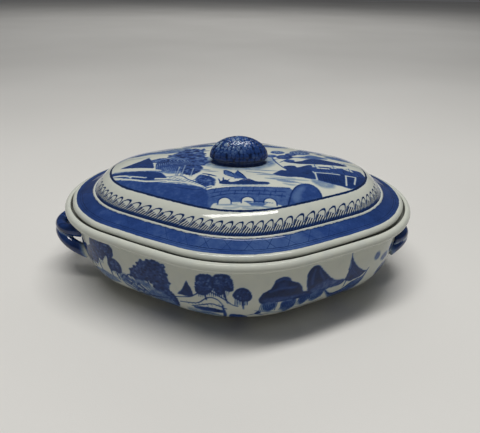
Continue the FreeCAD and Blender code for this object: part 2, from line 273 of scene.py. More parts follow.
class Paint:
    """Cobalt laid on a surface that is unrolled to flat x and y, from 0 (bare) to 1 (darkest)."""

    def __init__(self, x, y):
        self.x, self.y = x, y
        self.spots = np.column_stack([x, y])
        self.ink = np.zeros(len(x))
        shake = value_noise(x / 1.9, y / 1.9, 3) + value_noise(x / 0.8, y / 0.8, 5) * 0.5 - 0.75
        self.shake = shake * 0.55

    def near(self, points, margin):
        low, high = points.min(axis=0) - margin, points.max(axis=0) + margin
        inside = (self.x > low[0]) & (self.x < high[0]) & (self.y > low[1]) & (self.y < high[1])
        return np.nonzero(inside)[0]

    def lay(self, chosen, cover, tone):
        self.ink[chosen] += (tone - self.ink[chosen]) * cover

    def reach(self, chosen, path):
        """Distance to a path, and how far along it the nearest point is, 0 to 1."""
        px, py = self.x[chosen], self.y[chosen]
        best = np.full(len(px), 1e9)
        share = np.zeros(len(px))
        count = len(path) - 1
        for k in range(count):
            ax, ay = path[k]
            dx, dy = path[k + 1] - path[k]
            t = ((px - ax) * dx + (py - ay) * dy) / max(dx * dx + dy * dy, 1e-9)
            t = np.clip(t, 0, 1)
            gap = np.hypot(px - ax - t * dx, py - ay - t * dy)
            closer = gap < best
            best = np.where(closer, gap, best)
            share = np.where(closer, (k + t) / count, share)
        return best, share

    def fill(self, points, tone, soft=0.4, mottle=0.0, round_off=True, grain=2.5):
        """A painted patch; mottle varies its tone in spots of about grain mm."""
        path = rounded(points, True) if round_off else np.array(points, float)
        path = np.vstack([path, path[:1]])
        chosen = self.near(path, 3.0 + soft)
        if not len(chosen):
            return
        gap, _ = self.reach(chosen, path)
        gap = np.where(self.spots_inside(self.spots[chosen], path), -gap, gap) + self.shake[chosen]
        cover = np.clip(0.5 - gap / (2 * soft), 0, 1)
        if mottle:
            speck = value_noise(self.x[chosen] / grain, self.y[chosen] / grain, 17)
            fine = value_noise(self.x[chosen] / (0.4 * grain), self.y[chosen] / (0.4 * grain), 23)
            tone = np.clip(tone + mottle * (speck + fine - 1.0), 0, 1)
        self.lay(chosen, cover, tone)

    def stroke(self, points, width, tone, soft=0.3, taper=0.5):
        """One pull of the brush; taper narrows its ends."""
        path = rounded(points, False)
        chosen = self.near(path, width + soft + 1.0)
        if not len(chosen):
            return
        gap, share = self.reach(chosen, path)
        half = 0.5 * width * (1 - taper * np.abs(2 * share - 1) ** 2)
        cover = np.clip(0.5 - (gap + 0.3 * self.shake[chosen] - half) / (2 * soft), 0, 1)
        self.lay(chosen, cover, tone)

    def edged(self, line, width, tone, apart, edge_width, **how):
        """A stroke left nearly white between two thin dark ones, each at apart from its middle."""
        self.stroke(line, width, tone, **how)
        for side in (1, -1):
            self.stroke(np.array(line) + side * np.array(apart), edge_width, 0.95)

    def ripple(self, x, y, length, sag, width, tone, soft, fall=0.0):
        """A level wash stroke on water."""
        self.stroke([(x, y), (x + length / 2, y - sag), (x + length, y - fall)], width, tone,
                    soft=soft)

    def strokes(self, lines, width, tone, **how):
        for line in lines:
            self.stroke(line, width, tone, **how)

    def oval(self, x, y, rx, ry, tone, tilt=0.0, **how):
        turn = np.linspace(0, 2 * math.pi, 12, endpoint=False)
        c, s = math.cos(math.radians(tilt)), math.sin(math.radians(tilt))
        px, py = rx * np.cos(turn), ry * np.sin(turn)
        self.fill(np.column_stack([x + px * c - py * s, y + px * s + py * c]), tone, **how)

    def foliage(self, points, tone, size=2.6, soft=0.5):
        """A leafy mass: a wash with a scalloped edge, dark dabs over it and a few light gaps."""
        self.fill(points, tone - 0.14, soft=soft, mottle=0.22, grain=1.9)
        path = rounded(points, True, 8)
        edge = path[::max(1, int(len(path) * size / 60))]
        low, high = path.min(axis=0), path.max(axis=0)
        count = int(np.prod(high - low) / size ** 2) + 4
        ring = np.vstack([path, path[:1]])
        spots = rng.uniform(low, high, (count, 2))
        spots = spots[self.spots_inside(spots, ring)]
        for x, y in edge:
            self.oval(x, y, 0.42 * size, 0.36 * size, tone, soft=0.35, mottle=0.08)
        for k, (x, y) in enumerate(spots):
            reach = size * rng.uniform(0.22, 0.42)
            shade = min(1.0, tone + 0.08) if k % 3 else tone - 0.36
            self.oval(x, y, reach, 0.62 * reach, shade, tilt=rng.uniform(-50, 50), soft=0.35)

    @staticmethod
    def spots_inside(spots, ring):
        odd = np.zeros(len(spots), bool)
        for (ax, ay), (bx, by) in zip(ring[:-1], ring[1:]):
            if ay != by:
                crosses = (ay > spots[:, 1]) != (by > spots[:, 1])
                odd ^= crosses & (spots[:, 0] < ax + (spots[:, 1] - ay) * (bx - ax) / (by - ay))
        return odd

    def hatch(self, start, end, drift, count, width, tone, **how):
        """A row of short parallel strokes from start to end, each leaning by drift."""
        for t in np.linspace(0, 1, count):
            foot = np.array(start) + (np.array(end) - start) * t
            jog = 0.3 * math.sin(7.0 * t * count)
            self.stroke([foot, foot + np.array(drift) * (1 + 0.3 * jog)], width, tone, **how)


# ------------------------------------------------------------------ the cover

LIP_INSET = 8.6             # middle of the rounded lip
MIDDLE_INSET = 80.0         # further in, the outline shrinks to the middle instead
COVER_COLUMNS = 920
UNDER_SCALES = (0.0, 0.35, 0.7)
PAINT_INSET = 37.2          # the landscape starts at the ring line
COVER_TOP = [(LIP_INSET, 3.0), (10.0, 3.15), (13.5, 4.0), (18.0, 5.7), (22.0, 7.3), (22.7, 8.0),
             (23.3, 8.6), (23.9, 8.5), (24.4, 8.3), (25.2, 9.5), (26.6, 11.6), (31.3, 16.9),
             (37.5, 20.8), (48.0, 24.4), (60.0, 26.8), (72.0, 28.0), (MIDDLE_INSET, 28.3)]
COVER_UNDER = [(MIDDLE_INSET, 23.2), (66.0, 22.4), (52.0, 20.0), (42.0, 17.0), (35.0, 13.4),
               (29.5, 8.6), (25.5, 3.4), (19.0, 0.9), (15.0, -1.6), (12.4, -2.8), (9.4, -3.0)]


def to_middle(inset, z, count):
    """Rings that shrink from one outline to the middle at a level."""
    return [(inset, z, scale) for scale in np.linspace(1, 0, count + 1)[1:]]


def stations_of(path):
    return [(inset, z, 1.0) for inset, z in path]


def hand_made_lip(along, inset, z):
    """The pressed lip is a little uneven: it leans in and out and lifts by a few tenths."""
    strength = np.clip((14.0 - inset) / 5.0, 0, 1)
    lap = 2 * math.pi * along / OUTLINE.length
    sway = -0.45 + 0.28 * np.sin(3 * lap + 1.0) + 0.2 * np.sin(8 * lap + 2.2)
    sway += 0.1 * np.sin(19 * lap)
    rise = 0.50 + 0.25 * np.sin(2 * lap + 0.6) + 0.15 * np.sin(7 * lap + 1.9)
    return strength * sway, strength * np.maximum(rise, 0.0)


under = smooth_path(COVER_UNDER, 1.8)
lip = arc_path(LIP_INSET, 0.0, LIP_RADIUS, -80, 84, 15)
top = smooth_path(COVER_TOP, 0.62)
cover_path = np.vstack([under, lip, top])
cover_path[:, 1] += LIP_Z
cover_stations = [(MIDDLE_INSET, COVER_UNDER[0][1] + LIP_Z, scale) for scale in UNDER_SCALES]
cover_stations += stations_of(cover_path)
cover_stations += to_middle(MIDDLE_INSET, cover_path[-1, 1], 62)
cover = Skin("cover_visual", cover_stations, COVER_COLUMNS, hand_made_lip)
under_stations = len(UNDER_SCALES) + len(under) + len(lip) - 1
cover_top = np.arange(len(cover.x)) >= under_stations * COVER_COLUMNS
cover_top &= cover.z > LIP_Z + 1.0


def paint_near_land(paint):
    """The near left shore, its path edged in reserve, and the two islands behind it."""
    paint.fill([(-100, -27), (-88, -28), (-80, -31), (-70, -36), (-60, -38), (-52, -40), (-44, -42),
                (-36, -45), (-28, -48), (-24, -52), (-21, -58), (-20, -66), (-21, -74), (-50, -74),
                (-80, -60), (-98, -40)], 0.70, mottle=0.07)
    paint.stroke([(-24, -51), (-21, -58), (-20, -66), (-20, -74)], 1.1, 0.95)
    paint.stroke([(-46, -46), (-36, -50), (-29, -52), (-25, -51)], 0.7, 0.9)
    paint.fill([(-100, -14), (-90, -17), (-75, -20), (-62, -22.5), (-57, -27), (-54, -33),
                (-60, -35), (-70, -34), (-80, -30), (-90, -25), (-99, -20)], 0.80, mottle=0.06)
    paint.fill([(-73.5, 8), (-80, 0), (-94, -9), (-80, -13), (-67, -16), (-66, -14), (-69, -3)],
               0.82, mottle=0.05, round_off=False)
    paint.stroke([(-98, -12), (-88, -15), (-78, -17.5), (-66, -19), (-60, -20)], 2.4, 0.04)
    paint.stroke([(-98, -13.4), (-88, -16.6), (-78, -19.2), (-66, -20.6), (-60, -21.5)], 0.6, 0.9)
    for shore in ([(-92, -21), (-80, -26.5), (-70, -30)], [(-97, -20), (-86, -24), (-82, -28)],
                  [(-88, -28), (-80, -31), (-70, -35), (-60, -36.5), (-48, -37), (-44, -39.5)],
                  [(-62, -33), (-54, -34), (-46, -33), (-40, -36), (-36, -40)],
                  [(-52, -38), (-44, -39.5), (-38, -42), (-30, -46)]):
        paint.edged(shore, 3.0, 0.03, (0, 1.3), 0.55, taper=0.3)
    paint.hatch((-84, -24), (-66, -31), (3.5, -1.5), 6, 0.5, 0.9)
    paint.fill([(-54, -31), (-45, -30), (-40, -32), (-37, -37), (-32, -41), (-26, -46), (-23, -50),
                (-28, -47), (-36, -43), (-42, -38), (-50, -35)], 0.05)
    paint.stroke([(-54, -31), (-45, -30.5), (-41, -32), (-38, -36), (-33, -40), (-27, -45),
                  (-22, -51)], 0.8, 0.95)
    paint.hatch((-52, -33), (-27, -46), (2.5, 1.5), 11, 0.6, 0.85)


def paint_trees(paint):
    """Willow and round-headed trees to the left of the knob."""
    paint.oval(-62, 24, 16, 6, 0.48, tilt=10, mottle=0.2, soft=1.2)
    paint.oval(-52, 33, 11, 5, 0.42, mottle=0.2, soft=1.2)
    paint.foliage([(-57, 12), (-50, 22), (-45, 30), (-38, 32), (-31, 28), (-29, 18), (-27, 8),
                   (-24, -2), (-28, -9), (-33, -12), (-38, -6), (-44, 2), (-50, 3), (-57, 8)], 0.76,
                  size=4.5)
    paint.fill([(-66, 2), (-58, 6), (-48, 5), (-40, 0), (-37, -10), (-39, -22), (-48, -27),
                (-58, -24), (-64, -14)], 0.42, mottle=0.25, soft=1.2)
    paint.foliage([(-69, 1), (-62, 5), (-57, 2), (-58, -4), (-64, -5), (-69, -3)], 0.72, size=2.6)
    for x in np.arange(-64, -37, 1.45):
        top_y = 4.0 - 0.03 * (x + 50) ** 2
        paint.stroke([(x, top_y), (x - 0.8, top_y - 8), (x + 0.2, top_y - 17)], 0.75, 0.94)
        paint.stroke([(x + 0.7, top_y - 12), (x + 0.2, top_y - 26)], 0.65, 0.86)
    paint.foliage([(-41, -11), (-34, -9), (-29, -14), (-31, -24), (-37, -29), (-43, -22)], 0.86,
                  size=3.0)
    for base, crown in (((-47, -31), (-46, -14)), ((-43, -31), (-42, -10)),
                        ((-36, -32), (-35, -16))):
        paint.edged([base, crown], 1.1, 0.10, (0.7, 0), 0.5, taper=0.1)
    for x, y in ((-50, 12), (-43, 21), (-36, 24), (-33, 12), (-38, 5), (-30, 0), (-46, 8),
                 (-40, 14)):
        paint.oval(x, y, 2.6, 1.9, 0.9, mottle=0.1, soft=0.8)
    paint.stroke([(-27, -27), (-22, -29), (-17, -32)], 2.0, 0.85)
    paint.stroke([(-22.5, -30), (-21, -38), (-23, -47)], 0.9, 0.95)
    paint.foliage([(-28, -30), (-22, -33), (-18, -38), (-18, -47), (-23, -50), (-28, -44),
                   (-31, -36)], 0.80, size=2.4)
    paint.hatch((-31, -36), (-21, -46), (-2.5, -2.5), 7, 0.6, 0.95)
    paint.stroke([(-26, -51), (-20, -48), (-17, -50)], 1.6, 0.05)
    paint.strokes([[(-33, -18), (-22, -19.5)], [(-28, -21.5), (-16, -22.5)],
                   [(-20, -14), (-8, -15)]], 1.3, 0.42, soft=0.7)
    paint.strokes([[(-31, -18), (-23, -19)], [(-26, -22), (-18, -22.5)]], 0.5, 0.9)


def paint_boat_and_islet(paint):
    """The little sailing boat under the knob with its islet."""
    paint.oval(-6.5, -27, 8.6, 3.1, 0.62, tilt=-58, mottle=0.15)
    for side in (-1, 1):
        bow = np.array([(-11, -20), (-7.5 + 2.6 * side, -27 + 1.6 * side), (-2, -34.5)])
        paint.stroke(bow, 0.8, 0.95)
    paint.fill([(-1, -20), (3, -28), (6, -36), (-3, -36.5), (-4, -30)], 0.66, mottle=0.1,
               round_off=False)
    paint.stroke([(-1, -20), (3, -28), (6, -36)], 0.8, 0.95)
    paint.stroke([(-8, -32), (-3.5, -38), (-1, -42)], 1.0, 0.05)
    paint.hatch((-4, -25), (2, -34), (2.5, -1.5), 5, 0.5, 0.92)
    paint.fill([(-14, -43), (-10, -38), (-6, -42), (-1, -40.5), (3, -37), (8, -36.5), (13, -40),
                (21, -40.5), (22, -43.5), (10, -45.5), (-5, -46), (-12, -45.5)], 0.86, mottle=0.07)
    paint.strokes([[(-13, -44), (-15, -36)], [(-11, -42), (-11.5, -34)], [(-9, -42), (-6.5, -37)]],
                  1.0, 0.92, taper=0.8)
    paint.stroke([(-12, -47.5), (0, -47), (12, -46.6), (21, -45)], 0.9, 0.55, soft=0.5)


def paint_bridge(paint):
    """The plank bridge with three arched openings and the rock at its end."""
    paint.fill([(-22, -53), (-12, -51), (0, -49.5), (12, -49), (22, -48), (30, -47.5), (36, -47),
                (40, -52), (38, -60), (34, -71), (22, -73), (0, -74), (-19, -73), (-21, -62)], 0.62,
               mottle=0.07)
    paint.strokes([[(-21, -53), (-10, -50.7), (2, -49.4), (14, -48.8), (26, -47.8), (37, -47)],
                   [(-20, -57.5), (-6, -55), (8, -54.4), (22, -53.4), (34, -52.4)],
                   [(-19, -62), (-8, -59.2), (6, -58.6), (20, -58), (33, -57.5)]], 0.6, 0.93,
                  taper=0.1)
    for x in (-16, -6, 3, 11, 19, 27):
        paint.stroke([(x, -50.5), (x - 1.2, -56)], 0.45, 0.88)
        paint.stroke([(x + 4, -54.8), (x + 3, -60)], 0.45, 0.85)
    paint.stroke([(3, -47.6), (11, -47.2), (19, -46.8)], 0.8, 0.05)
    paint.fill([(-17, -69), (-5, -68), (10, -67.5), (28, -67.5), (32, -69.5), (30, -75), (0, -76),
                (-17, -75)], 0.06)
    for x, y in ((-9.5, -66.3), (6.5, -65.3), (22, -65)):
        arch = [(x - 4.6, y - 3.4), (x - 4.2, y + 0.4), (x - 2.2, y + 2.6), (x, y + 3.2),
                (x + 2.2, y + 2.6), (x + 4.2, y + 0.4), (x + 4.6, y - 3.4)]
        paint.fill(arch, 0.04, round_off=False)
        paint.stroke(arch, 0.7, 0.95, taper=0.0)
    for x, y, length, tone in ((-15, -70, 14, 0.4), (-3, -71.5, 17, 0.32), (12, -70.5, 16, 0.45),
                               (-10, -73, 10, 0.3), (3, -73.5, 20, 0.35), (20, -72.5, 10, 0.4)):
        paint.ripple(x, y, length, 0.5, 1.3, tone, 0.6)
    paint.fill([(5, -67.5), (20, -67.5), (17, -70.5), (9, -71)], 0.55, round_off=False)
    paint.stroke([(4, -67), (13, -66.6), (24, -66.6)], 0.6, 0.95)
    paint.fill([(33, -72), (36, -60), (39, -50), (43, -43), (48, -39.5), (53, -39.5), (57, -43),
                (59.5, -49), (60, -56), (52, -64), (40, -70)], 0.70, mottle=0.06)
    paint.stroke([(34, -69), (36, -60), (39, -50), (43, -43), (48, -39.5), (53, -39.5), (57, -43),
                  (59.5, -49), (60, -54)], 0.9, 0.95, taper=0.0)
    paint.fill([(38, -58), (41, -49), (45, -44), (48, -44), (45, -52), (42, -62)], 0.55, soft=1.6)


def paint_right_shore(paint):
    """Right shore, the water in front of it and the long pavilion."""
    paint.fill([(26, -26), (30, -21), (33, -17.5), (37, -18), (36, -9), (44, -7.5), (46, -11),
                (50, -9), (57, -5), (60, -12), (57, -18), (60, -30), (52, -31), (46, -29.5),
                (35, -30), (28, -27.5)], 0.82, mottle=0.06)
    paint.strokes([[(6, -22), (16, -24), (26, -27)], [(14, -27), (20, -27.6), (30, -28.5)],
                   [(8, -18), (18, -18.5), (30, -20)]], 1.5, 0.5, soft=0.6)
    for x, y, length, tone in ((20, -34, 21, 0.42), (29, -37, 14, 0.5), (33, -41, 9, 0.35),
                               (36, -33, 16, 0.32), (24, -31.5, 18, 0.3)):
        paint.ripple(x, y, length, 1.2, 2.0, tone, 0.9, fall=1.0)
    paint.hatch((24, -34), (44, -39), (6, -0.4), 6, 0.5, 0.6)
    paint.fill([(55, -32), (64, -31), (72, -34), (70, -40), (62, -41), (56, -37)], 0.36, soft=1.4,
               mottle=0.1)
    paint.fill([(58, -18), (76, -18), (92, -16), (102, -13), (100, -22), (94, -31), (84, -37),
                (74, -36), (60, -32)], 0.84, mottle=0.05, round_off=False)
    paint.fill([(55, -8), (78, -8), (98, -5), (101, -14), (84, -18), (57, -18)], 0.74, mottle=0.06,
               round_off=False)
    paint.fill([(39, 0), (50, 3), (58, 9), (66, 9), (78, 5), (88, 1), (80, -3), (57, -4), (48, -3)],
               0.80, mottle=0.06)
    paint.fill([(44, 12), (54, 15), (60, 20), (68, 16), (74, 11), (60, 9)], 0.55, mottle=0.15,
               soft=0.7)
    paint.strokes([[(40, -4.5), (48, -4.6), (57, -4.6)], [(62, -11.5), (71, -11.5)],
                   [(84, -8), (90, -10)]], 1.9, 0.04, taper=0.1)
    for x, wide in ((58, 5), (73, 4.5), (86, 4)):
        paint.fill([(x, -4.5), (x + wide, -4.5), (x + wide, -10), (x, -10)], 0.06, round_off=False)
        paint.strokes([[(x + wide / 2, -4.5), (x + wide / 2, -10)], [(x, -7.2), (x + wide, -7.2)]],
                      0.4, 0.9, taper=0)
    paint.strokes([[(59, -20), (59, -31)], [(59, -20), (69, -20), (78, -20)],
                   [(83, -20), (81, -34)], [(91, -19), (88, -30)], [(83, -20), (91, -19)]], 1.3,
                  0.04, taper=0.0)
    paint.hatch((62, -22), (76, -22), (0.5, -10), 8, 0.5, 0.95)
    for x in (64, 70, 76, 82, 88, 94):
        paint.stroke([(x, -11.8), (x + 0.6, -17.5)], 0.45, 0.95)
    paint.hatch((44, -1), (84, 2), (3.5, 3.5), 14, 0.45, 0.92)
    paint.strokes([[(27, 18), (28, 8), (30, 0), (34, -10), (37, -16)], [(33, -1), (37, 4), (42, 9)],
                   [(42, 3), (46, 1), (50, -1)], [(29, 6), (36, 10), (40, 16)]], 1.0, 0.92)
    for x, y, rx, ry, tone in ((38, 12, 6, 4.5, 0.8), (33, 24, 5, 4, 0.6), (52, 25, 8, 6, 0.62),
                               (44, 19, 4, 3, 0.7), (27, 14, 4, 3, 0.6), (41, 3, 3.5, 2.5, 0.75)):
        paint.oval(x, y, rx, ry, tone - 0.1, mottle=0.2, soft=0.8)
        paint.foliage([(x - rx, y), (x - rx * 0.5, y + ry), (x + rx * 0.6, y + ry), (x + rx, y),
                       (x + rx * 0.3, y - ry * 0.7), (x - rx * 0.6, y - ry * 0.6)], tone, size=2.2)
        paint.hatch((x - rx * 0.7, y + ry * 0.4), (x + rx * 0.7, y + ry * 0.4), (0.3, -ry * 0.8), 5,
                    0.4, 0.95)


def paint_far_side(paint):
    """Distant hills, clouds and boats on the side away from the bridge."""
    for x, y, rx, ry, tone in ((-84, 23, 14, 7, 0.54), (-70, 38, 13, 7, 0.60),
                               (66, 36, 15, 6, 0.56), (84, 18, 12, 6, 0.52), (30, 45, 14, 5, 0.56),
                               (-36, 44, 14, 6, 0.58), (-52, 33, 10, 5, 0.50)):
        paint.oval(x, y, rx, ry, tone, mottle=0.16, soft=1.6, grain=4)
        paint.stroke([(x - rx, y - ry * 0.6), (x, y - ry * 0.9), (x + rx, y - ry * 0.5)], 0.6, 0.7)
    paint.fill([(-84, 36), (-72, 40), (-66, 50), (-58, 52), (-48, 56), (-38, 48), (-24, 54),
                (-8, 50), (4, 55), (8, 62), (-10, 76), (-50, 76), (-80, 60)], 0.66, mottle=0.12)
    paint.fill([(10, 64), (24, 56), (36, 60), (48, 52), (60, 48), (72, 38), (82, 26), (92, 20),
                (96, 40), (70, 70), (24, 78)], 0.62, mottle=0.14)
    paint.fill([(-100, 10), (-92, 18), (-84, 22), (-78, 30), (-84, 44), (-104, 30)], 0.54, soft=1.5,
               mottle=0.2, grain=5)
    paint.stroke([(-66, 59), (-58, 51.5), (-48, 55), (-38, 47.5), (-24, 53), (-8, 49.5), (4, 54)],
                 0.9, 0.95)
    paint.stroke([(12, 61), (24, 55.5), (36, 59), (48, 51.5), (60, 49.5), (72, 40)], 0.9, 0.95)
    for x, y in ((-40, 60), (-20, 62), (20, 65), (44, 60), (-52, 61)):
        paint.fill([(x - 3, y), (x - 3, y + 4), (x - 5, y + 5), (x, y + 8), (x + 5, y + 5),
                    (x + 3, y + 4), (x + 3, y)], 0.06, round_off=False)
        paint.strokes([[(x - 5, y + 5), (x, y + 8), (x + 5, y + 5)], [(x - 3, y), (x - 3, y + 4)],
                       [(x + 3, y), (x + 3, y + 4)], [(x - 4, y + 4.6), (x + 4, y + 4.6)]], 0.6,
                      0.95)
    for x, y in ((-6, 38), (14, 34), (-30, 27), (70, 25)):
        paint.fill([(x - 4, y), (x, y + 7), (x + 1.5, y)], 0.6, round_off=False)
        paint.stroke([(x - 5, y - 0.8), (x, y - 2), (x + 5, y - 0.6)], 1.4, 0.85)
    for x, y, length in ((-24, 36, 18), (0, 30, 16), (4, 42, 22), (-92, 10, 20), (86, 6, 14),
                         (-14, 45, 14)):
        paint.ripple(x, y, length, 0.8, 1.1, 0.38, 0.6)


def paint_cover():
    """All of the river landscape inside the ring line, as an ink value per vertex."""
    paint = Paint(cover.x[cover_top], cover.y[cover_top])
    paint.oval(0, 0, 30, 19, 0.34, mottle=0.2, soft=2.5, grain=5)
    paint_far_side(paint)
    paint_right_shore(paint)
    paint_trees(paint)
    paint_near_land(paint)
    paint_boat_and_islet(paint)
    paint_bridge(paint)
    ink = np.zeros(len(cover.x))
    ink[cover_top] = paint.ink * (cover.inset[cover_top] > PAINT_INSET)
    set_values(cover.piece, "ink", ink)
    set_values(cover.piece, "outside", cover_top)


def joint_shade_reach():
    """How far up the lip the painted joint shade reaches, 0 to 1: furthest at the right and left
    front.
    """
    bearing = np.degrees(np.arctan2(cover.y, cover.x))
    return np.exp(-((bearing + 42) / 11) ** 2) + 0.7 * np.exp(-((bearing + 143) / 8) ** 2)


paint_cover()
# Painted shade over the lip's lower edge, standing for the dark joint beneath it.
shade_top = LIP_Z + 0.35 + 0.7 * joint_shade_reach()
set_values(cover.piece, "shade_and_stain", np.clip((shade_top - cover.z) / 0.7, 0, 1) * (cover.inset < 12.0))


# ------------------------------------------------------------------- the dish

WALL_NECK = 8.0
WALL_TURN = 42.0
NECK_Z = 59.0
ROLL_RADIUS = 3.5
ROLL_Z = RIM_TOP - ROLL_RADIUS
MOUTH_INSET = 15.5
FLOOR_Z = BASE_Z + 5.0
DISH_COLUMNS = 1040


def wall_path(neck, turn, high, low, shares):
    turned = 1 - (1 - shares ** 2.7) ** (1 / 3.4)
    return np.column_stack([neck + (turn - neck) * turned, high - shares * (high - low)])


def hand_made_rim(along, inset, z):
    """Slow waviness of the pressed wall, with the seat for the cover left flat."""
    lap = 2 * math.pi * along / OUTLINE.length
    sway = 0.18 * np.sin(2 * lap + 0.4) + 0.14 * np.sin(5 * lap + 1.7)
    strength = 1.0 if inset < WALL_NECK or z < NECK_Z else 0.0
    return strength * sway, np.zeros(len(along))


def make_dish():
    outer = wall_path(WALL_NECK, WALL_TURN, NECK_Z - 1.5, BASE_Z, np.linspace(0.97, 0.0, 96))
    under_turn = smooth_path([(37.0, BASE_Z), (31.0, BASE_Z), (26.5, BASE_Z + 1.0),
                              tuple(outer[0])], 1.0)
    neck = smooth_path([tuple(outer[-1]), (7.6, NECK_Z - 0.7), (6.6, NECK_Z - 0.5),
                        (5.4, NECK_Z - 1.1)], 0.7)
    roll = arc_path(ROLL_RADIUS, ROLL_Z, ROLL_RADIUS, -125, 103, 25)
    seat = smooth_path([tuple(roll[-1]), (4.75, RIM_TOP - 1.1), (5.0, SEAT_Z + 0.3),
                        (5.7, SEAT_Z - 0.9), (7.2, SEAT_Z - 1.0), (8.2, SEAT_Z - 0.1),
                        (10.0, SEAT_Z), (14.6, SEAT_Z), (MOUTH_INSET, SEAT_Z - 0.8),
                        (MOUTH_INSET, SEAT_Z - 3.2), (14.6, SEAT_Z - 4.1), (13.3, SEAT_Z - 5.0)],
                       0.9)
    inner = wall_path(13.0, 40.0, SEAT_Z - 5.5, FLOOR_Z, np.linspace(0.0, 0.985, 34))
    floor = smooth_path([tuple(inner[-1]), (38.0, FLOOR_Z + 0.1), (50.0, FLOOR_Z),
                         (66.0, FLOOR_Z - 0.2), (MIDDLE_INSET, FLOOR_Z - 0.3)], 3.0)
    path = np.vstack([under_turn[:-1], outer[:-1], neck[:-1], roll[:-1], seat[:-1], inner[:-1],
                      floor])
    stations = [(MIDDLE_INSET, BASE_Z, scale) for scale in (0.0, 0.4, 0.8)] + [(60.0, BASE_Z, 1.0)]
    first = len(stations) + len(under_turn) - 1
    stations += stations_of(path)
    stations += to_middle(MIDDLE_INSET, FLOOR_Z - 0.3, 8)
    dish = Skin("dish_visual", stations, DISH_COLUMNS, hand_made_rim)
    order = np.arange(len(dish.x))
    start = 1 + (first - 1) * DISH_COLUMNS
    end = start + (len(outer) + 2) * DISH_COLUMNS
    dish.wall = (order >= start - 6 * DISH_COLUMNS) & (order < end)
    return dish


WALL_DATUM = 64.0           # the painting on the wall is laid down from this level


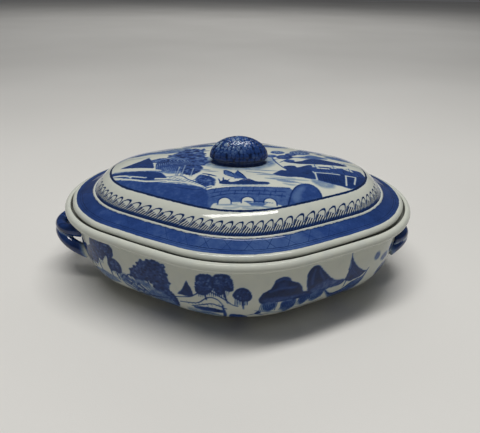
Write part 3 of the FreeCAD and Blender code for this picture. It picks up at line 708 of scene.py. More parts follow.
def paint_mainland(paint):
    """Trees, rocks and the hut, left end to middle of one side; y runs down the wall."""
    for x, y, r in ((-122, 20, 9), (-110, 17, 6.5), (-103, 29, 6), (-130, 28, 7), (-140, 30, 7)):
        paint.foliage([(x - r, y), (x - 0.8 * r, y - 0.7 * r), (x, y - r),
                       (x + 0.8 * r, y - 0.6 * r), (x + r, y + 0.1 * r), (x + 0.6 * r, y + 0.8 * r),
                       (x - 0.2 * r, y + 0.6 * r), (x - 0.8 * r, y + 0.8 * r)], 0.88, size=2.8)
        paint.hatch((x - r * 0.6, y + r * 0.3), (x + r * 0.6, y + r * 0.3), (0.5, r * 0.9), 5, 0.6,
                    0.9)
    for x in (-176, -164, -152):
        paint.foliage([(x - 6, 28), (x - 4, 22), (x + 2, 20), (x + 6, 25), (x + 4, 31),
                       (x - 2, 30)], 0.84, size=2.8)
        paint.stroke([(x, 28), (x + 1, 42)], 1.2, 0.9)
    for shift in (0, 4, 9):
        paint.stroke([(-188, 45 + shift), (-165, 40 + shift), (-145, 44 + shift),
                      (-120, 40 + shift), (-102, 41 + shift)], 1.0, 0.72 - 0.03 * shift, soft=0.5)
    paint.strokes([[(-122, 26), (-120, 42)], [(-109, 22), (-108, 40)], [(-103, 33), (-101, 42)],
                   [(-131, 32), (-130, 43)]], 1.3, 0.92)
    paint.fill([(-134, 42), (-120, 38), (-106, 41), (-104, 46), (-122, 48)], 0.45, mottle=0.2,
               soft=0.8)
    tree = [(-57, 13), (-65, 11.5), (-72, 14), (-78, 16), (-81, 21), (-86, 25), (-88, 31),
            (-83, 36), (-77, 34), (-72, 31), (-68, 33), (-66, 38), (-60, 39), (-55, 35), (-53, 27),
            (-55, 19)]
    paint.foliage(tree, 0.90, size=3.4)
    paint.foliage([(-64, 36), (-56, 33), (-50, 38), (-49, 46), (-54, 52), (-62, 50), (-66, 43)],
                  0.86, size=3.0)
    paint.stroke([(-72, 33), (-70, 44)], 2.2, 0.9)
    paint.fill([(-100, 37), (-94, 32), (-87, 36), (-80, 33), (-72, 34), (-64, 40), (-54, 44),
                (-50, 54), (-62, 58), (-76, 54), (-90, 50), (-98, 44)], 0.46, mottle=0.3, soft=0.8)
    for x, y, dx, dy in ((-92, 38, 8, 5), (-86, 40, 9, 7), (-80, 38, 8, 9), (-74, 40, 9, 10),
                         (-70, 46, 10, 6), (-64, 44, 9, 7), (-84, 47, 12, 4), (-77, 51, 14, 3),
                         (-96, 43, 8, 4)):
        paint.stroke([(x, y), (x + 0.6 * dx, y + 0.4 * dy), (x + dx, y + dy)], 1.5, 0.06)
        paint.stroke([(x - 0.8, y + 1), (x + 0.6 * dx - 0.8, y + 0.4 * dy + 1),
                      (x + dx - 0.8, y + dy + 1)], 0.5, 0.93)
    for x, y in ((-95, 36), (-90, 34), (-88, 41), (-82, 40), (-77, 44), (-70, 42), (-66, 46),
                 (-84, 46)):
        paint.stroke([(x - 3.5, y + 2), (x, y - 2), (x + 3.5, y + 2)], 0.8, 0.9)
        paint.hatch((x - 2.5, y + 2), (x + 2.5, y + 2), (1.2, 2.4), 4, 0.5, 0.8)
    paint.fill([(-74, 42), (-62, 38), (-54, 44), (-56, 54), (-70, 56)], 0.50, mottle=0.2, soft=1.2)
    paint.strokes([[(-86, 50), (-72, 47), (-58, 43)], [(-80, 55), (-64, 52), (-52, 50)]], 1.1, 0.85)
    paint.fill([(-38, 20), (-34, 27), (-33, 32), (-40, 34), (-47, 34), (-42, 28)], 0.88, mottle=0.1,
               round_off=False)
    paint.foliage([(-28, 14), (-20, 13), (-17, 19), (-20, 25), (-25, 29), (-30, 27), (-30, 20)],
                  0.88, size=2.8)
    paint.foliage([(-17, 14), (-12, 11.5), (-7, 12), (-4, 17), (-4, 23), (-9, 23), (-12, 27),
                   (-16, 24)], 0.88, size=2.8)
    paint.hatch((-28, 25), (-6, 22), (-0.6, 6.5), 15, 0.5, 0.85)
    paint.strokes([[(-10, 22), (-9, 28), (-7, 35)], [(-24, 27), (-23, 34)]], 1.3, 0.93)
    for ridge in ([(-50, 38), (-42, 35.5), (-35, 33), (-28, 28), (-20, 26), (-10, 31), (-4, 36),
                   (1, 38)], [(-46, 41.5), (-38, 40), (-30, 38), (-22, 31.5), (-15, 32), (-10, 38)],
                  [(-36, 43), (-26, 39), (-18, 37), (-8, 41)]):
        paint.stroke(ridge, 0.9, 0.93, taper=0.3)
    paint.hatch((-40, 39), (-14, 36), (2.0, 3.0), 9, 0.5, 0.6)
    paint.fill([(-34, 43), (-22, 41), (-10, 43), (-12, 46), (-30, 46)], 0.8, mottle=0.15)
    paint.fill([(-40, 46), (-20, 46), (-12, 52), (-20, 57), (-38, 55)], 0.32, soft=1.4, mottle=0.15)
    paint.stroke([(-11, 38), (-9.5, 46), (-10, 52), (-13, 58)], 2.6, 0.7)
    paint.fill([(-6, 48), (0, 47), (8, 50), (8, 58), (-4, 58)], 0.74, mottle=0.15)
    paint.stroke([(8, 49), (14, 47.5), (20, 49), (26, 48.5)], 0.8, 0.9)
    paint.fill([(14, 47), (17, 43.5), (19, 47)], 0.8)
    paint.strokes([[(-34, 50), (-22, 48.5), (-12, 50)], [(-44, 54), (-30, 53), (-18, 55)]], 0.8,
                  0.7)
    paint.foliage([(-2, 28), (0, 23), (5, 22), (9, 26), (9, 31), (3, 32)], 0.88, size=2.4)
    paint.hatch((-1, 29), (8, 29), (-0.6, 8), 8, 0.7, 0.88)
    paint.stroke([(4, 30), (5, 41)], 1.2, 0.92)


def paint_sea_side(paint):
    """Round islets, their reflections, the junk and its hull to the right of the middle."""
    paint.fill([(17, 29), (20, 26), (25, 23), (28, 17), (33, 15), (38, 16), (41, 20), (47, 23),
                (50, 27), (52, 32), (60, 34), (61, 37.5), (50, 38), (40, 37), (30, 36.5), (20, 37),
                (16, 33)], 0.96, mottle=0.05)
    paint.fill([(18, 33), (28, 31.5), (40, 33), (52, 34), (58, 36), (44, 36), (24, 36)], 0.72,
               soft=1.0, mottle=0.12)
    paint.oval(34, 22, 4, 2.4, 0.80, soft=1.4)
    paint.strokes([[(29, 18), (34, 16.8), (39, 18.5)], [(24, 26), (33, 24.5), (45, 26)]], 1.3, 0.60,
                  soft=1.2)
    for reflection in ([(19, 36), (29, 36), (30, 42), (25, 46), (20, 42)],
                       [(35, 37), (47, 38), (47, 46), (41, 51), (36, 46)],
                       [(50, 38), (59, 37), (58, 43), (53, 47)]):
        paint.fill(reflection, 0.60, soft=1.0, mottle=0.16)
    paint.fill([(54, 17), (58, 12.5), (63, 13.5), (67, 18), (72, 24), (80, 31), (89, 33.5),
                (86, 37), (75, 37), (68, 38), (61, 36.5), (56, 33), (54, 26)], 0.94, mottle=0.06)
    paint.fill([(64, 30), (72, 27.5), (80, 31), (89, 33.5), (86, 37), (75, 37), (64, 37.5),
                (58, 34)], 0.68, soft=1.2, mottle=0.16)
    paint.strokes([[(60, 16), (58.5, 22), (59, 28)], [(64, 17), (66, 22), (69, 27)]], 1.2, 0.62,
                  soft=1.2)
    paint.fill([(60, 37), (70, 37.5), (70, 43), (64, 47), (60, 43)], 0.55, soft=1.0, mottle=0.15)
    for start, end, count, length in (((18, 37), (31, 37), 10, 8), ((35, 38), (47, 38), 9, 9),
                                      ((50, 38), (59, 37.5), 7, 7), ((60, 38), (71, 38), 8, 7)):
        paint.hatch(start, end, (-0.8, length), count, 0.6, 0.85)
    paint.strokes([[(14, 43), (30, 48), (44, 52)], [(48, 48), (62, 50), (74, 48)]], 1.1, 0.5,
                  soft=0.6)
    paint.fill([(92, 12.5), (95, 19), (99, 24.5), (106, 30), (111, 32), (105, 36), (95, 37.5),
                (89, 34), (92, 25)], 0.86, mottle=0.14, round_off=False)
    paint.hatch((92, 20), (104, 33), (-1.5, 5), 9, 0.45, 0.6)
    paint.stroke([(92, 11), (91, 36), (90, 42)], 0.9, 0.95)
    paint.fill([(72, 38), (80, 44.5), (90, 43.5), (97, 39), (107, 38), (112, 31), (108, 44),
                (99, 54), (88, 56), (78, 48)], 0.62, mottle=0.12, soft=0.8)
    paint.strokes([[(72, 38), (80, 45), (90, 44), (98, 39), (108, 37), (113, 30)],
                   [(76, 43), (86, 49), (98, 47), (108, 41)]], 0.9, 0.93, taper=0.3)
    paint.hatch((82, 47), (104, 44), (-1.2, 5), 9, 0.5, 0.85)
    for x, y, rx in ((121, 22, 4), (134, 27, 6), (146, 24, 5), (160, 29, 7)):
        paint.oval(x, y, rx, 3.6, 0.62, mottle=0.25, soft=1.2)
    paint.fill([(128, 40), (136, 34), (150, 36), (164, 33), (178, 38), (182, 46), (150, 48),
                (132, 46)], 0.66, mottle=0.22, soft=0.9)
    for shift in (0, 4, 8):
        paint.stroke([(120, 48 + shift), (140, 46 + shift), (160, 49 + shift), (184, 46 + shift)],
                     0.9, 0.6, soft=0.6)


def paint_dish(dish):
    """The same river scene runs along both long sides of the wall."""
    ink = np.zeros(len(dish.x))
    drop = WALL_DATUM - dish.z
    for offset in (0.0, OUTLINE.length / 2):
        side = (dish.along + offset + OUTLINE.length / 2) % OUTLINE.length - OUTLINE.length / 2
        chosen = dish.wall & (np.abs(side) < OUTLINE.length / 4)
        paint = Paint(side[chosen], drop[chosen])
        paint_mainland(paint)
        paint_sea_side(paint)
        wash = paint.ink - 0.15 * np.maximum(paint.ink - 0.70, 0)
        ink[chosen] = wash * np.clip((OUTLINE.length / 4 - np.abs(side[chosen])) / 3, 0, 1)
    set_values(dish.piece, "ink", ink)
    set_values(dish.piece, "outside", dish.wall)


dish = make_dish()
paint_dish(dish)
# Painted shade in the seat under the cover's lip, in part a stain of the seat ring.
in_joint = (dish.inset > 4.6) & (dish.inset < LIP_INSET) & (dish.z > SEAT_Z - 1.3)
set_values(dish.piece, "shade_and_stain", 0.6 * in_joint * np.clip((RIM_TOP - 0.1 - dish.z) / 0.8, 0, 1))


# ---------------------------------------------------- feet, knob and handles

FOOT = [(42.5, 0.15), (41.6, 0.0), (38.4, 0.0), (37.5, 0.15), (37.0, 0.9), (37.2, 3.4), (36.2, 5.4),
        (43.8, 5.4), (42.8, 3.4), (43.0, 0.9)]
GUIDE = [(20.5, 0.9), (19.9, 0.2), (19.2, 0.0), (18.2, 0.0), (17.4, 0.2), (16.8, 0.9), (16.9, 10.4),
         (20.8, 10.4)]
BAND_COLUMNS = 420
foot = Skin("foot_visual", stations_of(FOOT), BAND_COLUMNS, cyclic=True)
guide = Skin("locating_visual", stations_of([(inset, GUIDE_LOW[2] + z) for inset, z in GUIDE]),
             BAND_COLUMNS, cyclic=True)


def oval_shell(name, half_x, half_y, profile, columns, relief=None):
    """Rings of an oval for (scale, z) profile points, outer edge first, closed at the last."""
    turn = np.arange(columns) * 2 * math.pi / columns
    rings = []
    for scale, z in profile:
        rings.append(np.column_stack([half_x * scale * np.cos(turn), half_y * scale * np.sin(turn),
                                      np.full(columns, z)]))
    points = np.array(rings)
    if relief is not None:
        around = np.roll(points, -1, axis=1) - np.roll(points, 1, axis=1)
        up = np.gradient(points, axis=0)
        normal = np.cross(around, up)
        normal /= np.maximum(np.linalg.norm(normal, axis=2, keepdims=True), 1e-9)
        points = points + normal * relief(points)[..., None]
    return new_object(name, points.reshape(-1, 3), rod_faces(len(profile), columns)), points


KNOB_RISE = KNOB_HIGH[2] - KNOB_LOW[2]
KNOB_PROFILE = [(0.88, 0.2), (0.96, 0.15), (0.998, 0.8), (1.0, 1.9)]
KNOB_PROFILE += [(math.cos(t) ** 1.06, 1.6 + (KNOB_RISE - 2.1) * math.sin(t) ** 1.02)
                 for t in np.radians([15, 27, 38, 48, 57, 65, 72, 79, 84.5])]
KNOB_PROFILE += [(0.02, KNOB_RISE - 0.5)]
SEED_PITCH = 3.2
SEED_HEIGHT = 0.28
SEED_STRETCH = 1.45         # seeds are longer up the knob than across
SEED_MARGIN = 0.35          # the knob without its seeds stays this far inside the CAD one
KNOB_COLUMNS = 400
STALK_COLUMNS = 220


def knob_seeds():
    """Middles of the raised seeds, in staggered rings from the edge to the crown."""
    half_x, half_y = KNOB_HIGH[0], KNOB_HIGH[1]
    path = smooth_path(KNOB_PROFILE, 0.01)
    reach = np.column_stack([path[:, 0] * (half_x + half_y) / 2, path[:, 1]])
    walked = np.concatenate([[0.0], np.cumsum(np.linalg.norm(np.diff(reach, axis=0), axis=1))])
    seeds = []
    for row, place in enumerate(np.arange(3.6, walked[-1] - 1.0, 1.12 * SEED_PITCH)):
        scale = np.interp(place, walked, path[:, 0])
        z = np.interp(place, walked, path[:, 1])
        girth = math.pi * scale * (3 * (half_x + half_y)
                                   - math.sqrt((3 * half_x + half_y) * (half_x + 3 * half_y)))
        count = max(1, int(round(girth / SEED_PITCH)))
        fine = np.linspace(0, 2 * math.pi, 721)
        ring = np.column_stack([half_x * scale * np.cos(fine), half_y * scale * np.sin(fine)])
        gone = np.concatenate([[0.0], np.cumsum(np.linalg.norm(np.diff(ring, axis=0), axis=1))])
        places = (np.arange(count) + 0.5 * (row % 2)) / count * gone[-1]
        turn = np.interp(places, gone, fine) + rng.normal(0, 0.035, count)
        seeds.append(np.column_stack([half_x * scale * np.cos(turn), half_y * scale * np.sin(turn),
                                      z + KNOB_LOW[2] + rng.normal(0, 0.22, count)]))
    return np.vstack(seeds)


def make_knob():
    seeds = knob_seeds()
    lift_of = rng.uniform(0.75, 1.1, len(seeds))
    path = smooth_path(KNOB_PROFILE, 0.035)
    path[:, 1] += KNOB_LOW[2]
    seed_height = np.zeros(len(path) * KNOB_COLUMNS)

    def relief(points):
        flat = points.reshape(-1, 3)
        height = np.zeros(len(flat))
        for seed, strength in zip(seeds, lift_of):
            away = flat - seed
            outward = seed * [1, 1, 0] / max(np.hypot(seed[0], seed[1]), 1e-6)
            uphill = np.hypot(away @ outward, away[:, 2]) / SEED_STRETCH
            sideways = away[:, 0] * outward[1] - away[:, 1] * outward[0]
            gap = np.hypot(uphill, sideways) / (0.50 * SEED_PITCH)
            height = np.maximum(height, SEED_HEIGHT * strength
                                * np.sqrt(np.clip(1 - gap ** 2, 0, 1)))
        seed_height[:] = height * np.clip((flat[:, 2] - KNOB_LOW[2] - 0.6) / 1.2, 0, 1)
        return seed_height.reshape(points.shape[:2])

    half_x, half_y = KNOB_HIGH[0] - SEED_MARGIN, KNOB_HIGH[1] - SEED_MARGIN
    piece, points = oval_shell("knob_visual", half_x, half_y, path, KNOB_COLUMNS, relief)
    flat = points.reshape(-1, 3)
    groove = np.clip(1 - seed_height / (0.7 * SEED_HEIGHT), 0, 1)
    wash = value_noise(flat[:, 0] / 6, flat[:, 1] / 6 + flat[:, 2] / 5, 31)
    dab = value_noise(flat[:, 0] / 1.6, flat[:, 1] / 1.6 + flat[:, 2] / 1.4, 37)
    top = np.clip((flat[:, 2] - KNOB_LOW[2] - 5) / 8, 0, 1)
    paler = np.clip(0.55 - flat[:, 0] / 40, 0.15, 1)
    ink = 0.70 + 0.28 * groove - 0.46 * top * paler * (dab > 0.52) * (1 - groove)
    ink -= 0.20 * (wash - 0.5)
    # Darker over the knob's lowest 4 mm: painted shade under its turned-under edge.
    ink += 0.10 * np.clip(1 - (flat[:, 2] - KNOB_LOW[2]) / 4, 0, 1)
    set_values(piece, "ink", np.clip(ink, 0, 1))
    return piece


STALK_PROFILE = [(1.12, -1.0), (1.08, -0.4), (1.04, 0.3), (1.01, 1.1), (0.99, 2.2),   # scale, z
                 (0.985, 3.3), (0.98, 4.4)]


def make_stalk():
    path = smooth_path(STALK_PROFILE, 0.02)
    path[:, 1] += STALK_LOW[2]
    piece, points = oval_shell("stalk_visual", STALK_HIGH[0], STALK_HIGH[1], path, STALK_COLUMNS)
    flat = points.reshape(-1, 3)
    rise = flat[:, 2] - STALK_LOW[2]
    streak = value_noise(np.arctan2(flat[:, 1], flat[:, 0]) * 9, rise / 9, 41)
    set_values(piece, "ink", np.clip(0.72 + 0.14 * streak - 0.5 * np.clip(0.5 - rise, 0, 1), 0, 1))
    return piece


OUTLINE_POINTS = OUTLINE.at(np.linspace(0, OUTLINE.length, 3000, endpoint=False))
OUTLINE_POINTS = np.column_stack([OUTLINE_POINTS[0] + OUTLINE_POINTS[2] * np.cos(OUTLINE_POINTS[3]),
                                  OUTLINE_POINTS[1] + OUTLINE_POINTS[2]
                                  * np.sin(OUTLINE_POINTS[3])])


def wall_depth(points):
    """How far inside the outer face of the dish wall each point lies; negative outside."""
    inside_rim = []
    for x, y, _ in points:
        gap = np.linalg.norm(OUTLINE_POINTS - [x, y], axis=1)
        nearest = OUTLINE_POINTS[gap.argmin()]
        sign = 1.0 if math.hypot(x, y) < math.hypot(*nearest) else -1.0
        inside_rim.append(sign * gap.min())
    profile = wall_path(WALL_NECK, WALL_TURN, NECK_Z, BASE_Z, np.linspace(0, 0.97, 200))
    face = np.interp(points[:, 2], profile[::-1, 1], profile[::-1, 0])
    return np.array(inside_rim) - face


HANDLES = {
    "left": dict(side=-1, reach=15.5, radius=4.4, inset=8.0, shift=6.0, yaw=0.0, drop=25.5),
    "right": dict(side=1, reach=8.8, radius=3.8, inset=12.0, shift=17.5, yaw=20.0, drop=27.0),
}
STRANDS = ((20.0, 3.0, 1.5), (24.0, -27.0, -1.5))   # radius of the bend, tilt, height at the crown
ROOT_DEPTH = 16.0
ROOT_KEPT = 1.8             # of that, kept in the visible strands
SMOOTHING_LOSS = 0.5        # the strands start thicker, because smoothing thins them
STRAND_FLATNESS = 0.90
VOXEL = 0.55


def strand_path(handle, span, tilt, split):
    """Points along a strand in the frame, ending just inside the wall."""
    bend = math.acos(1 - (handle["reach"] + ROOT_DEPTH) / span)
    t = np.linspace(-bend, bend, 61)
    x, y = span * (np.cos(t) - 1), span * np.sin(t)
    lean = math.radians(tilt)
    local = np.column_stack([x * math.cos(lean), y, -x * math.sin(lean) + split])
    facing = math.radians((180.0 if handle["side"] < 0 else 0.0) - handle["side"] * handle["yaw"])
    c, s = math.cos(facing), math.sin(facing)
    crown = HALF_LENGTH - handle["inset"] + handle["reach"]
    path = np.column_stack([local[:, 0] * c - local[:, 1] * s + handle["side"] * crown,
                            local[:, 0] * s + local[:, 1] * c - handle["shift"],
                            local[:, 2] + RIM_TOP - handle["drop"]])
    middle = len(path) // 2
    kept = wall_depth(path) < ROOT_KEPT
    first = middle - np.argmin(kept[middle::-1]) + 1 if not kept[:middle].all() else 0
    last = middle + np.argmin(kept[middle:]) if not kept[middle:].all() else len(path)
    return path[first:last]


def tube(path, radius, flat, sides=20):
    """Vertices and faces of a closed rod along a path, flattened by flat across its height."""
    along = np.gradient(path, axis=0)
    along /= np.linalg.norm(along, axis=1, keepdims=True)
    out = path - path.mean(axis=0)
    out -= along * (out * along).sum(axis=1, keepdims=True)
    out /= np.linalg.norm(out, axis=1, keepdims=True)
    side = np.cross(along, out)
    turn = np.arange(sides) * 2 * math.pi / sides
    share = np.linspace(-1, 1, len(path))
    swell = 1 + 0.22 * np.abs(share) ** 6
    rings = [path[k] + radius * swell[k] * (np.cos(turn)[:, None] * out[k] * flat
                                            + np.sin(turn)[:, None] * side[k])
             for k in range(len(path))]
    return np.vstack(rings), rod_faces(len(path), sides)


def apply_modifiers(piece):
    """The piece with its modifiers made part of its mesh."""
    graph = bpy.context.evaluated_depsgraph_get()
    mesh = bpy.data.meshes.new_from_object(piece.evaluated_get(graph))
    piece.modifiers.clear()
    piece.data = mesh
    mesh.polygons.foreach_set("use_smooth", np.ones(len(mesh.polygons), bool))


def points_mm(piece):
    out = np.empty(3 * len(piece.data.vertices), np.float32)
    piece.data.vertices.foreach_get("co", out)
    return out.reshape(-1, 3) / MM


def make_handle(name):
    """Two strands that meet at the crown, luted to the wall at four roots."""
    handle = HANDLES[name]
    vertices, faces, paths = [], [], []
    count = 0
    for span, tilt, split in STRANDS:
        path = strand_path(handle, span, tilt, split)
        paths.append(path)
        rod, sides = tube(path, handle["radius"] + SMOOTHING_LOSS, STRAND_FLATNESS)
        vertices.append(rod)
        faces += [[index + count for index in face] for face in sides]
        count += len(rod)
    piece = new_object("handle_%s_visual" % name, np.vstack(vertices), faces)
    remesh = piece.modifiers.new("union", "REMESH")
    remesh.mode = "VOXEL"
    remesh.voxel_size = VOXEL * MM
    smooth = piece.modifiers.new("smooth", "SMOOTH")
    smooth.factor = 0.5
    smooth.iterations = 6
    apply_modifiers(piece)
    points = points_mm(piece)
    gaps = []
    for path in paths:
        steps = [np.linalg.norm(points - p, axis=1) for p in path]
        gaps.append(np.min(steps, axis=0))
    seam = np.exp(-((gaps[0] - gaps[1]) / 1.0) ** 2)
    root = np.clip((wall_depth(points) + 5.0) / 5.0, 0, 1)
    low = np.clip((RIM_TOP - handle["drop"] - points[:, 2]) / 10, 0, 1)
    streak = value_noise(points[:, 1] / 2.0, points[:, 2] / 5.0, 51)
    ink = 0.84 - 0.62 * seam * (streak > 0.40) - root * low + 0.26 * (streak - 0.5)
    set_values(piece, "ink", np.clip(ink, 0, 1))
    return piece


knob = make_knob()
stalk = make_stalk()
handles = {name: make_handle(name) for name in HANDLES}


# ---------------------------------------------------------------- materials

INK_COLOURS = [
    (0.00, (0.600, 0.620, 0.550)),
    (0.12, (0.470, 0.515, 0.500)),
    (0.28, (0.270, 0.345, 0.410)),
    (0.50, (0.085, 0.155, 0.330)),
    (0.70, (0.020, 0.056, 0.210)),
    (0.86, (0.008, 0.029, 0.120)),
    (1.00, (0.004, 0.013, 0.050)),
]
SPECK_COLOUR = (0.10, 0.085, 0.07)
SPECK_PITCH = 13
# Near-black of the joint between cover and dish: painted shade, in part a stain of the seat.
SHADE_AND_STAIN_COLOUR = (0.010, 0.009, 0.009)


class Graph:
    """A material's node tree, with short ways to add the nodes used here."""

    def __init__(self, name):
        self.material = bpy.data.materials.new(name)
        self.material.use_nodes = True
        self.tree = self.material.node_tree
        self.tree.nodes.clear()
        self.output = self.add("ShaderNodeOutputMaterial")
        self.shader = self.add("ShaderNodeBsdfPrincipled")
        self.link(self.shader.outputs["BSDF"], self.output.inputs["Surface"])
        self.place = self.add("ShaderNodeTexCoord").outputs["Object"]

    def add(self, kind):
        return self.tree.nodes.new(kind)

    def link(self, source, target):
        if isinstance(source, bpy.types.NodeSocket):
            self.tree.links.new(source, target)
        else:
            target.default_value = source

    def math(self, operation, *values):
        node = self.add("ShaderNodeMath")
        node.operation = operation
        for value, target in zip(values, node.inputs):
            self.link(value, target)
        return node.outputs[0]

    def times(self, first, second):
        return self.math("MULTIPLY", first, second)

    def plus(self, first, second):
        return self.math("ADD", first, second)

    def minus(self, first, second):
        return self.math("SUBTRACT", first, second)

    def attribute(self, name):
        node = self.add("ShaderNodeAttribute")
        node.attribute_name = name
        return node.outputs["Fac"]

    def noise(self, cell, detail=3.0, roughness=0.55):
        """Noise whose cells are about cell mm wide."""
        node = self.add("ShaderNodeTexNoise")
        node.inputs["Scale"].default_value = 1 / (cell * MM)
        node.inputs["Detail"].default_value = detail
        node.inputs["Roughness"].default_value = roughness
        self.link(self.place, node.inputs["Vector"])
        return node.outputs["Fac"]

    def step(self, value, edge, soft):
        node = self.add("ShaderNodeMapRange")
        node.interpolation_type = "SMOOTHSTEP"
        self.link(value, node.inputs["Value"])
        node.inputs["From Min"].default_value = edge - soft
        node.inputs["From Max"].default_value = edge + soft
        return node.outputs["Result"]

    def line(self, value, middle, half, soft):
        """1 within half of middle."""
        gap = self.math("ABSOLUTE", self.minus(value, middle))
        return self.minus(1.0, self.step(gap, half, soft))

    def between(self, value, low, high, soft):
        return self.times(self.step(value, low, soft),
                          self.minus(1.0, self.step(value, high, soft)))

    def most(self, *values):
        best = values[0]
        for value in values[1:]:
            best = self.math("MAXIMUM", best, value)
        return best

    def ramp(self, value, stops):
        node = self.add("ShaderNodeValToRGB")
        band = node.color_ramp
        while len(band.elements) < len(stops):
            band.elements.new(1.0)
        for element, (place, colour) in zip(band.elements, stops):
            element.position = place
            element.color = (*colour, 1.0)
        self.link(value, node.inputs["Fac"])
        return node.outputs["Color"]

    def mix(self, share, first, second):
        node = self.add("ShaderNodeMix")
        node.data_type = "RGBA"
        self.link(share, node.inputs["Factor"])
        for value, target in ((first, node.inputs["A"]), (second, node.inputs["B"])):
            self.link(value if isinstance(value, bpy.types.NodeSocket) else (*value, 1.0), target)
        return node.outputs["Result"]

    def bump(self, *layers):
        """Layers of (height socket, height in mm)."""
        normal = None
        for height, depth in layers:
            node = self.add("ShaderNodeBump")
            node.inputs["Strength"].default_value = 1.0
            node.inputs["Distance"].default_value = depth * MM
            self.link(height, node.inputs["Height"])
            if normal:
                self.link(normal, node.inputs["Normal"])
            normal = node.outputs["Normal"]
        self.link(normal, self.shader.inputs["Normal"])


GLAZE_SHINE = 0.42
WALL_SHINE = 0.18   # less on the dish, where the pale floor mirrored in the glaze veils the blues


def glaze(graph, ink=0.0, shine=GLAZE_SHINE):
    """Clear glaze over white porcelain with the ink value painted in cobalt under it."""
    cloud = graph.noise(9.0, 3.0)
    fine = graph.noise(1.6, 4.0, 0.65)
    tone = graph.plus(0.80, graph.plus(graph.times(cloud, 0.22), graph.times(fine, 0.18)))
    haze = graph.times(graph.step(cloud, 0.62, 0.2), 0.05)
    colour = graph.ramp(graph.most(graph.times(ink, tone), haze), INK_COLOURS)
    speck = graph.add("ShaderNodeTexVoronoi")
    speck.inputs["Scale"].default_value = 1 / (SPECK_PITCH * MM)
    graph.link(graph.place, speck.inputs["Vector"])
    dot = graph.minus(1.0, graph.step(speck.outputs["Distance"], 0.022, 0.008))
    colour = graph.mix(graph.times(dot, 0.55), colour, SPECK_COLOUR)
    # The joint between cover and dish is darkened and dulled: painted shade, in part a stain of the
    # dish's seat.
    shade_and_stain = graph.times(graph.attribute("shade_and_stain"), graph.step(fine, 0.18, 0.20))
    graph.link(graph.mix(shade_and_stain, colour, SHADE_AND_STAIN_COLOUR), graph.shader.inputs["Base Color"])
    graph.shader.inputs["IOR"].default_value = 1.5
    graph.shader.inputs["Specular IOR Level"].default_value = shine
    rough = graph.plus(0.035, graph.times(graph.noise(5.0, 4.0, 0.7), 0.06))
    graph.link(graph.plus(rough, graph.times(shade_and_stain, 0.5)), graph.shader.inputs["Roughness"])
    graph.bump((graph.noise(14.0, 1.0), 0.35), (graph.noise(2.6, 2.0), 0.035))
    return graph.material


BRIM = (9.0, 22.4)          # inset of the blue band's edges
LATTICE = (13.9, 22.2)
LATTICE_COUNT = 46.0        # crossings round the cover
LATTICE_SLOPE = 0.055
RINGS = ((9.3, 0.3, 0.88), (12.2, 0.3, 0.93), (13.9, 0.35, 0.93),   # inset, half width, tone
         (22.3, 0.25, 0.85), (24.6, 0.28, 0.97), (37.5, 0.85, 0.97))
BORDER = (24.5, 31.6)
LOOP_FOOT = 24.8
LOOP_HEIGHT = 6.3
LOOP_COUNT = 82.0
LOOP_POWER = 2.3            # 2 is a half circle, more is squarer
HATCH_PER_LOOP = 4.0        # a whole number of hatch lines has to fit round the cover


def border_ink(graph):
    """Brim wash, ring lines and the border of leaning loops over hatching, from inset and lap."""
    wander = graph.times(graph.minus(graph.noise(3.0, 2.0), 0.5), 0.9)
    inset = graph.plus(graph.attribute("inset"), wander)
    lap_sin = graph.attribute("lap_sin")
    turns = graph.math("DIVIDE", graph.math("ARCTAN2", lap_sin, graph.attribute("lap_cos")),
                       2 * math.pi)

    patchy = graph.plus(0.47, graph.times(graph.noise(16.0, 3.0, 0.6), 0.34))
    ends = graph.math("POWER", graph.math("ABSOLUTE", lap_sin), 2.0)
    patchy = graph.plus(patchy, graph.times(ends, 0.16))        # the wash is deeper at both ends
    brim = graph.times(graph.between(inset, *BRIM, 0.35), patchy)
    lattice = []
    for slope in (LATTICE_SLOPE, -LATTICE_SLOPE):
        place = graph.plus(graph.times(turns, LATTICE_COUNT), graph.times(inset, slope))
        lattice.append(graph.line(graph.math("FRACT", place), 0.5, 0.035, 0.03))
    lattice = graph.times(graph.most(*lattice),
                          graph.times(graph.between(inset, *LATTICE, 0.2), 0.80))
    rings = graph.most(*[graph.times(graph.line(inset, at, half, 0.2), tone)
                         for at, half, tone in RINGS])

    height = graph.math("DIVIDE", graph.minus(inset, LOOP_FOOT), LOOP_HEIGHT)
    phase = graph.times(turns, LOOP_COUNT)
    leaning = graph.math("FRACT", graph.minus(phase, graph.times(height, 0.90)))
    across = graph.math("ABSOLUTE", graph.minus(graph.times(leaning, 2.0), 1.0))
    radius = graph.plus(graph.math("POWER", across, LOOP_POWER),
                        graph.math("POWER", graph.most(height, 0.0), LOOP_POWER))
    radius = graph.math("POWER", radius, 1 / LOOP_POWER)
    loops = graph.times(graph.line(radius, 0.90, 0.070, 0.035),
                        graph.times(graph.step(height, 0.30, 0.12), 0.97))
    stripes = graph.math("FRACT", graph.minus(graph.times(phase, HATCH_PER_LOOP),
                                              graph.times(height, 4.4)))
    ragged = graph.plus(0.66, graph.times(leaning, -0.30))
    short = graph.minus(1.0, graph.step(graph.minus(height, ragged), 0.0, 0.05))
    hatch = graph.times(graph.line(stripes, 0.5, 0.27, 0.06), graph.times(short, 0.97))
    base = graph.times(graph.between(inset, 24.4, 25.7, 0.5), 0.80)
    field = graph.times(graph.most(loops, hatch, base), graph.between(inset, *BORDER, 0.15))
    return graph.most(brim, lattice, rings, field)


def cover_material():
    graph = Graph("cover_glaze_paint")
    ink = graph.most(border_ink(graph), graph.attribute("ink"))
    return glaze(graph, graph.times(ink, graph.attribute("outside")))


def painted_material(name, shine=GLAZE_SHINE):
    graph = Graph(name)
    return glaze(graph, graph.attribute("ink"), shine)


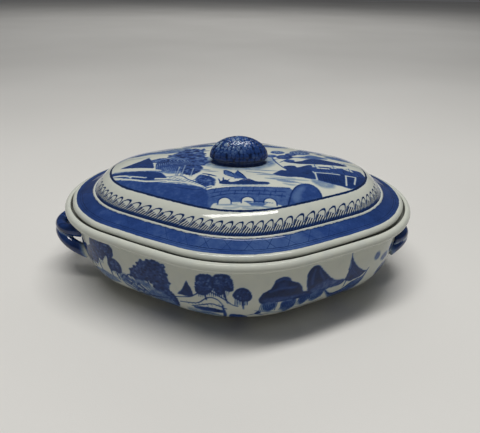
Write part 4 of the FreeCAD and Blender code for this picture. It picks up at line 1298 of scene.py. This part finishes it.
def biscuit_material(name):
    """Bare fired clay of the foot."""
    graph = Graph(name)
    cloud = graph.noise(6.0, 4.0)
    grain = graph.noise(0.7, 3.0, 0.7)
    colour = graph.ramp(cloud, [(0.25, (0.42, 0.35, 0.26)), (0.5, (0.66, 0.60, 0.50)),
                                (0.75, (0.74, 0.71, 0.63))])
    colour = graph.mix(graph.step(grain, 0.68, 0.05), colour, (0.25, 0.19, 0.13))
    graph.link(colour, graph.shader.inputs["Base Color"])
    graph.link(graph.plus(0.55, graph.times(grain, 0.3)), graph.shader.inputs["Roughness"])
    graph.bump((cloud, 0.1), (grain, 0.06))
    return graph.material


def floor_material():
    graph = Graph("floor_pale")
    colour = graph.ramp(graph.noise(700.0, 2.0),
                        [(0.3, (0.70, 0.69, 0.66)), (0.7, (0.78, 0.77, 0.74))])
    graph.link(colour, graph.shader.inputs["Base Color"])
    graph.shader.inputs["Roughness"].default_value = 0.9
    graph.bump((graph.noise(260.0, 1.0), 1.2), (graph.noise(0.8, 2.0), 0.05))
    return graph.material


painted = painted_material("dish_glaze_paint", WALL_SHINE)
PIECES = [
    (dish.piece, "dish_body", "dish", "dish_glaze", painted),
    (foot.piece, "foot_ring", "dish", "bare_foot", biscuit_material("biscuit_clay")),
    (handles["left"], "handle_left", "dish", "handle_glaze",
     painted_material("handle_glaze_paint")),
    (handles["right"], "handle_right", "dish", "handle_glaze",
     painted_material("handle_glaze_wash")),
    (cover.piece, "cover_shell", "cover", "cover_glaze", cover_material()),
    (guide.piece, "locating_ring", "cover", "plain_glaze", glaze(Graph("plain_glaze_white"))),
    (stalk, "knob_stalk", "cover", "knob_glaze", painted_material("stalk_glaze_paint")),
    (knob, "knob", "cover", "knob_glaze", painted_material("knob_glaze_paint")),
]
for piece, node, body, slot, material in PIECES:
    piece.data.materials.append(material)
    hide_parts(node)
    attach(piece, body)


# ------------------------------------------------------ floor, light, camera

FLOOR_HALF = 6000.0
floor = new_object("studio_floor", [(-FLOOR_HALF, -FLOOR_HALF, 0), (FLOOR_HALF, -FLOOR_HALF, 0),
                                    (FLOOR_HALF, FLOOR_HALF, 0), (-FLOOR_HALF, FLOOR_HALF, 0)],
                   [[0, 1, 2, 3]])
floor.data.materials.append(floor_material())


def aim(thing, target, roll=0.0):
    direction = Vector(target) - thing.location
    thing.rotation_mode = "QUATERNION"
    turn = direction.to_track_quat("-Z", "Y")
    thing.rotation_quaternion = turn @ Quaternion((0, 0, 1), roll)


def area_light(name, place, target, size, watts, colour, mirrored=True):
    """A soft rectangular light, which the glaze doesn't mirror if mirrored is False."""
    lamp = bpy.data.lights.new(name, "AREA")
    lamp.shape = "RECTANGLE"
    lamp.size, lamp.size_y = size
    lamp.energy = watts
    lamp.color = colour
    thing = bpy.data.objects.new(name, lamp)
    thing.location = place
    bpy.context.scene.collection.objects.link(thing)
    aim(thing, target)
    thing.visible_glossy = mirrored


area_light("overhead", (0.02, -0.05, 1.25), (0, 0, 0), (1.10, 0.20), 11.0, (1.0, 0.985, 0.96))
area_light("ceiling", (0.0, 0.2, 2.3), (0, 0.2, 0), (2.2, 2.2), 7.0, (0.97, 0.985, 1.0),
           mirrored=False)
area_light("background", (0.0, 2.4, 1.6), (0, 2.2, 0), (2.6, 1.6), 16.0, (1.0, 0.99, 0.97),
           mirrored=False)

world = bpy.data.worlds.new("studio_world")
bpy.context.scene.world = world
world.use_nodes = True
world.node_tree.nodes["Background"].inputs["Color"].default_value = (0.95, 0.96, 1.0, 1.0)
world.node_tree.nodes["Background"].inputs["Strength"].default_value = 0.09

camera_data = bpy.data.cameras.new("camera_main")
camera_data.lens = 36.0
camera_data.sensor_width = 36.0
camera_data.clip_end = 50.0
camera = bpy.data.objects.new("camera_main", camera_data)
camera.location = (-0.0012, -0.3664, 0.2256)
bpy.context.scene.collection.objects.link(camera)
aim(camera, (0.0018, 0.0, 0.0429), math.radians(1.01))
bpy.context.scene.camera = camera
bpy.context.scene.view_settings.view_transform = "Standard"
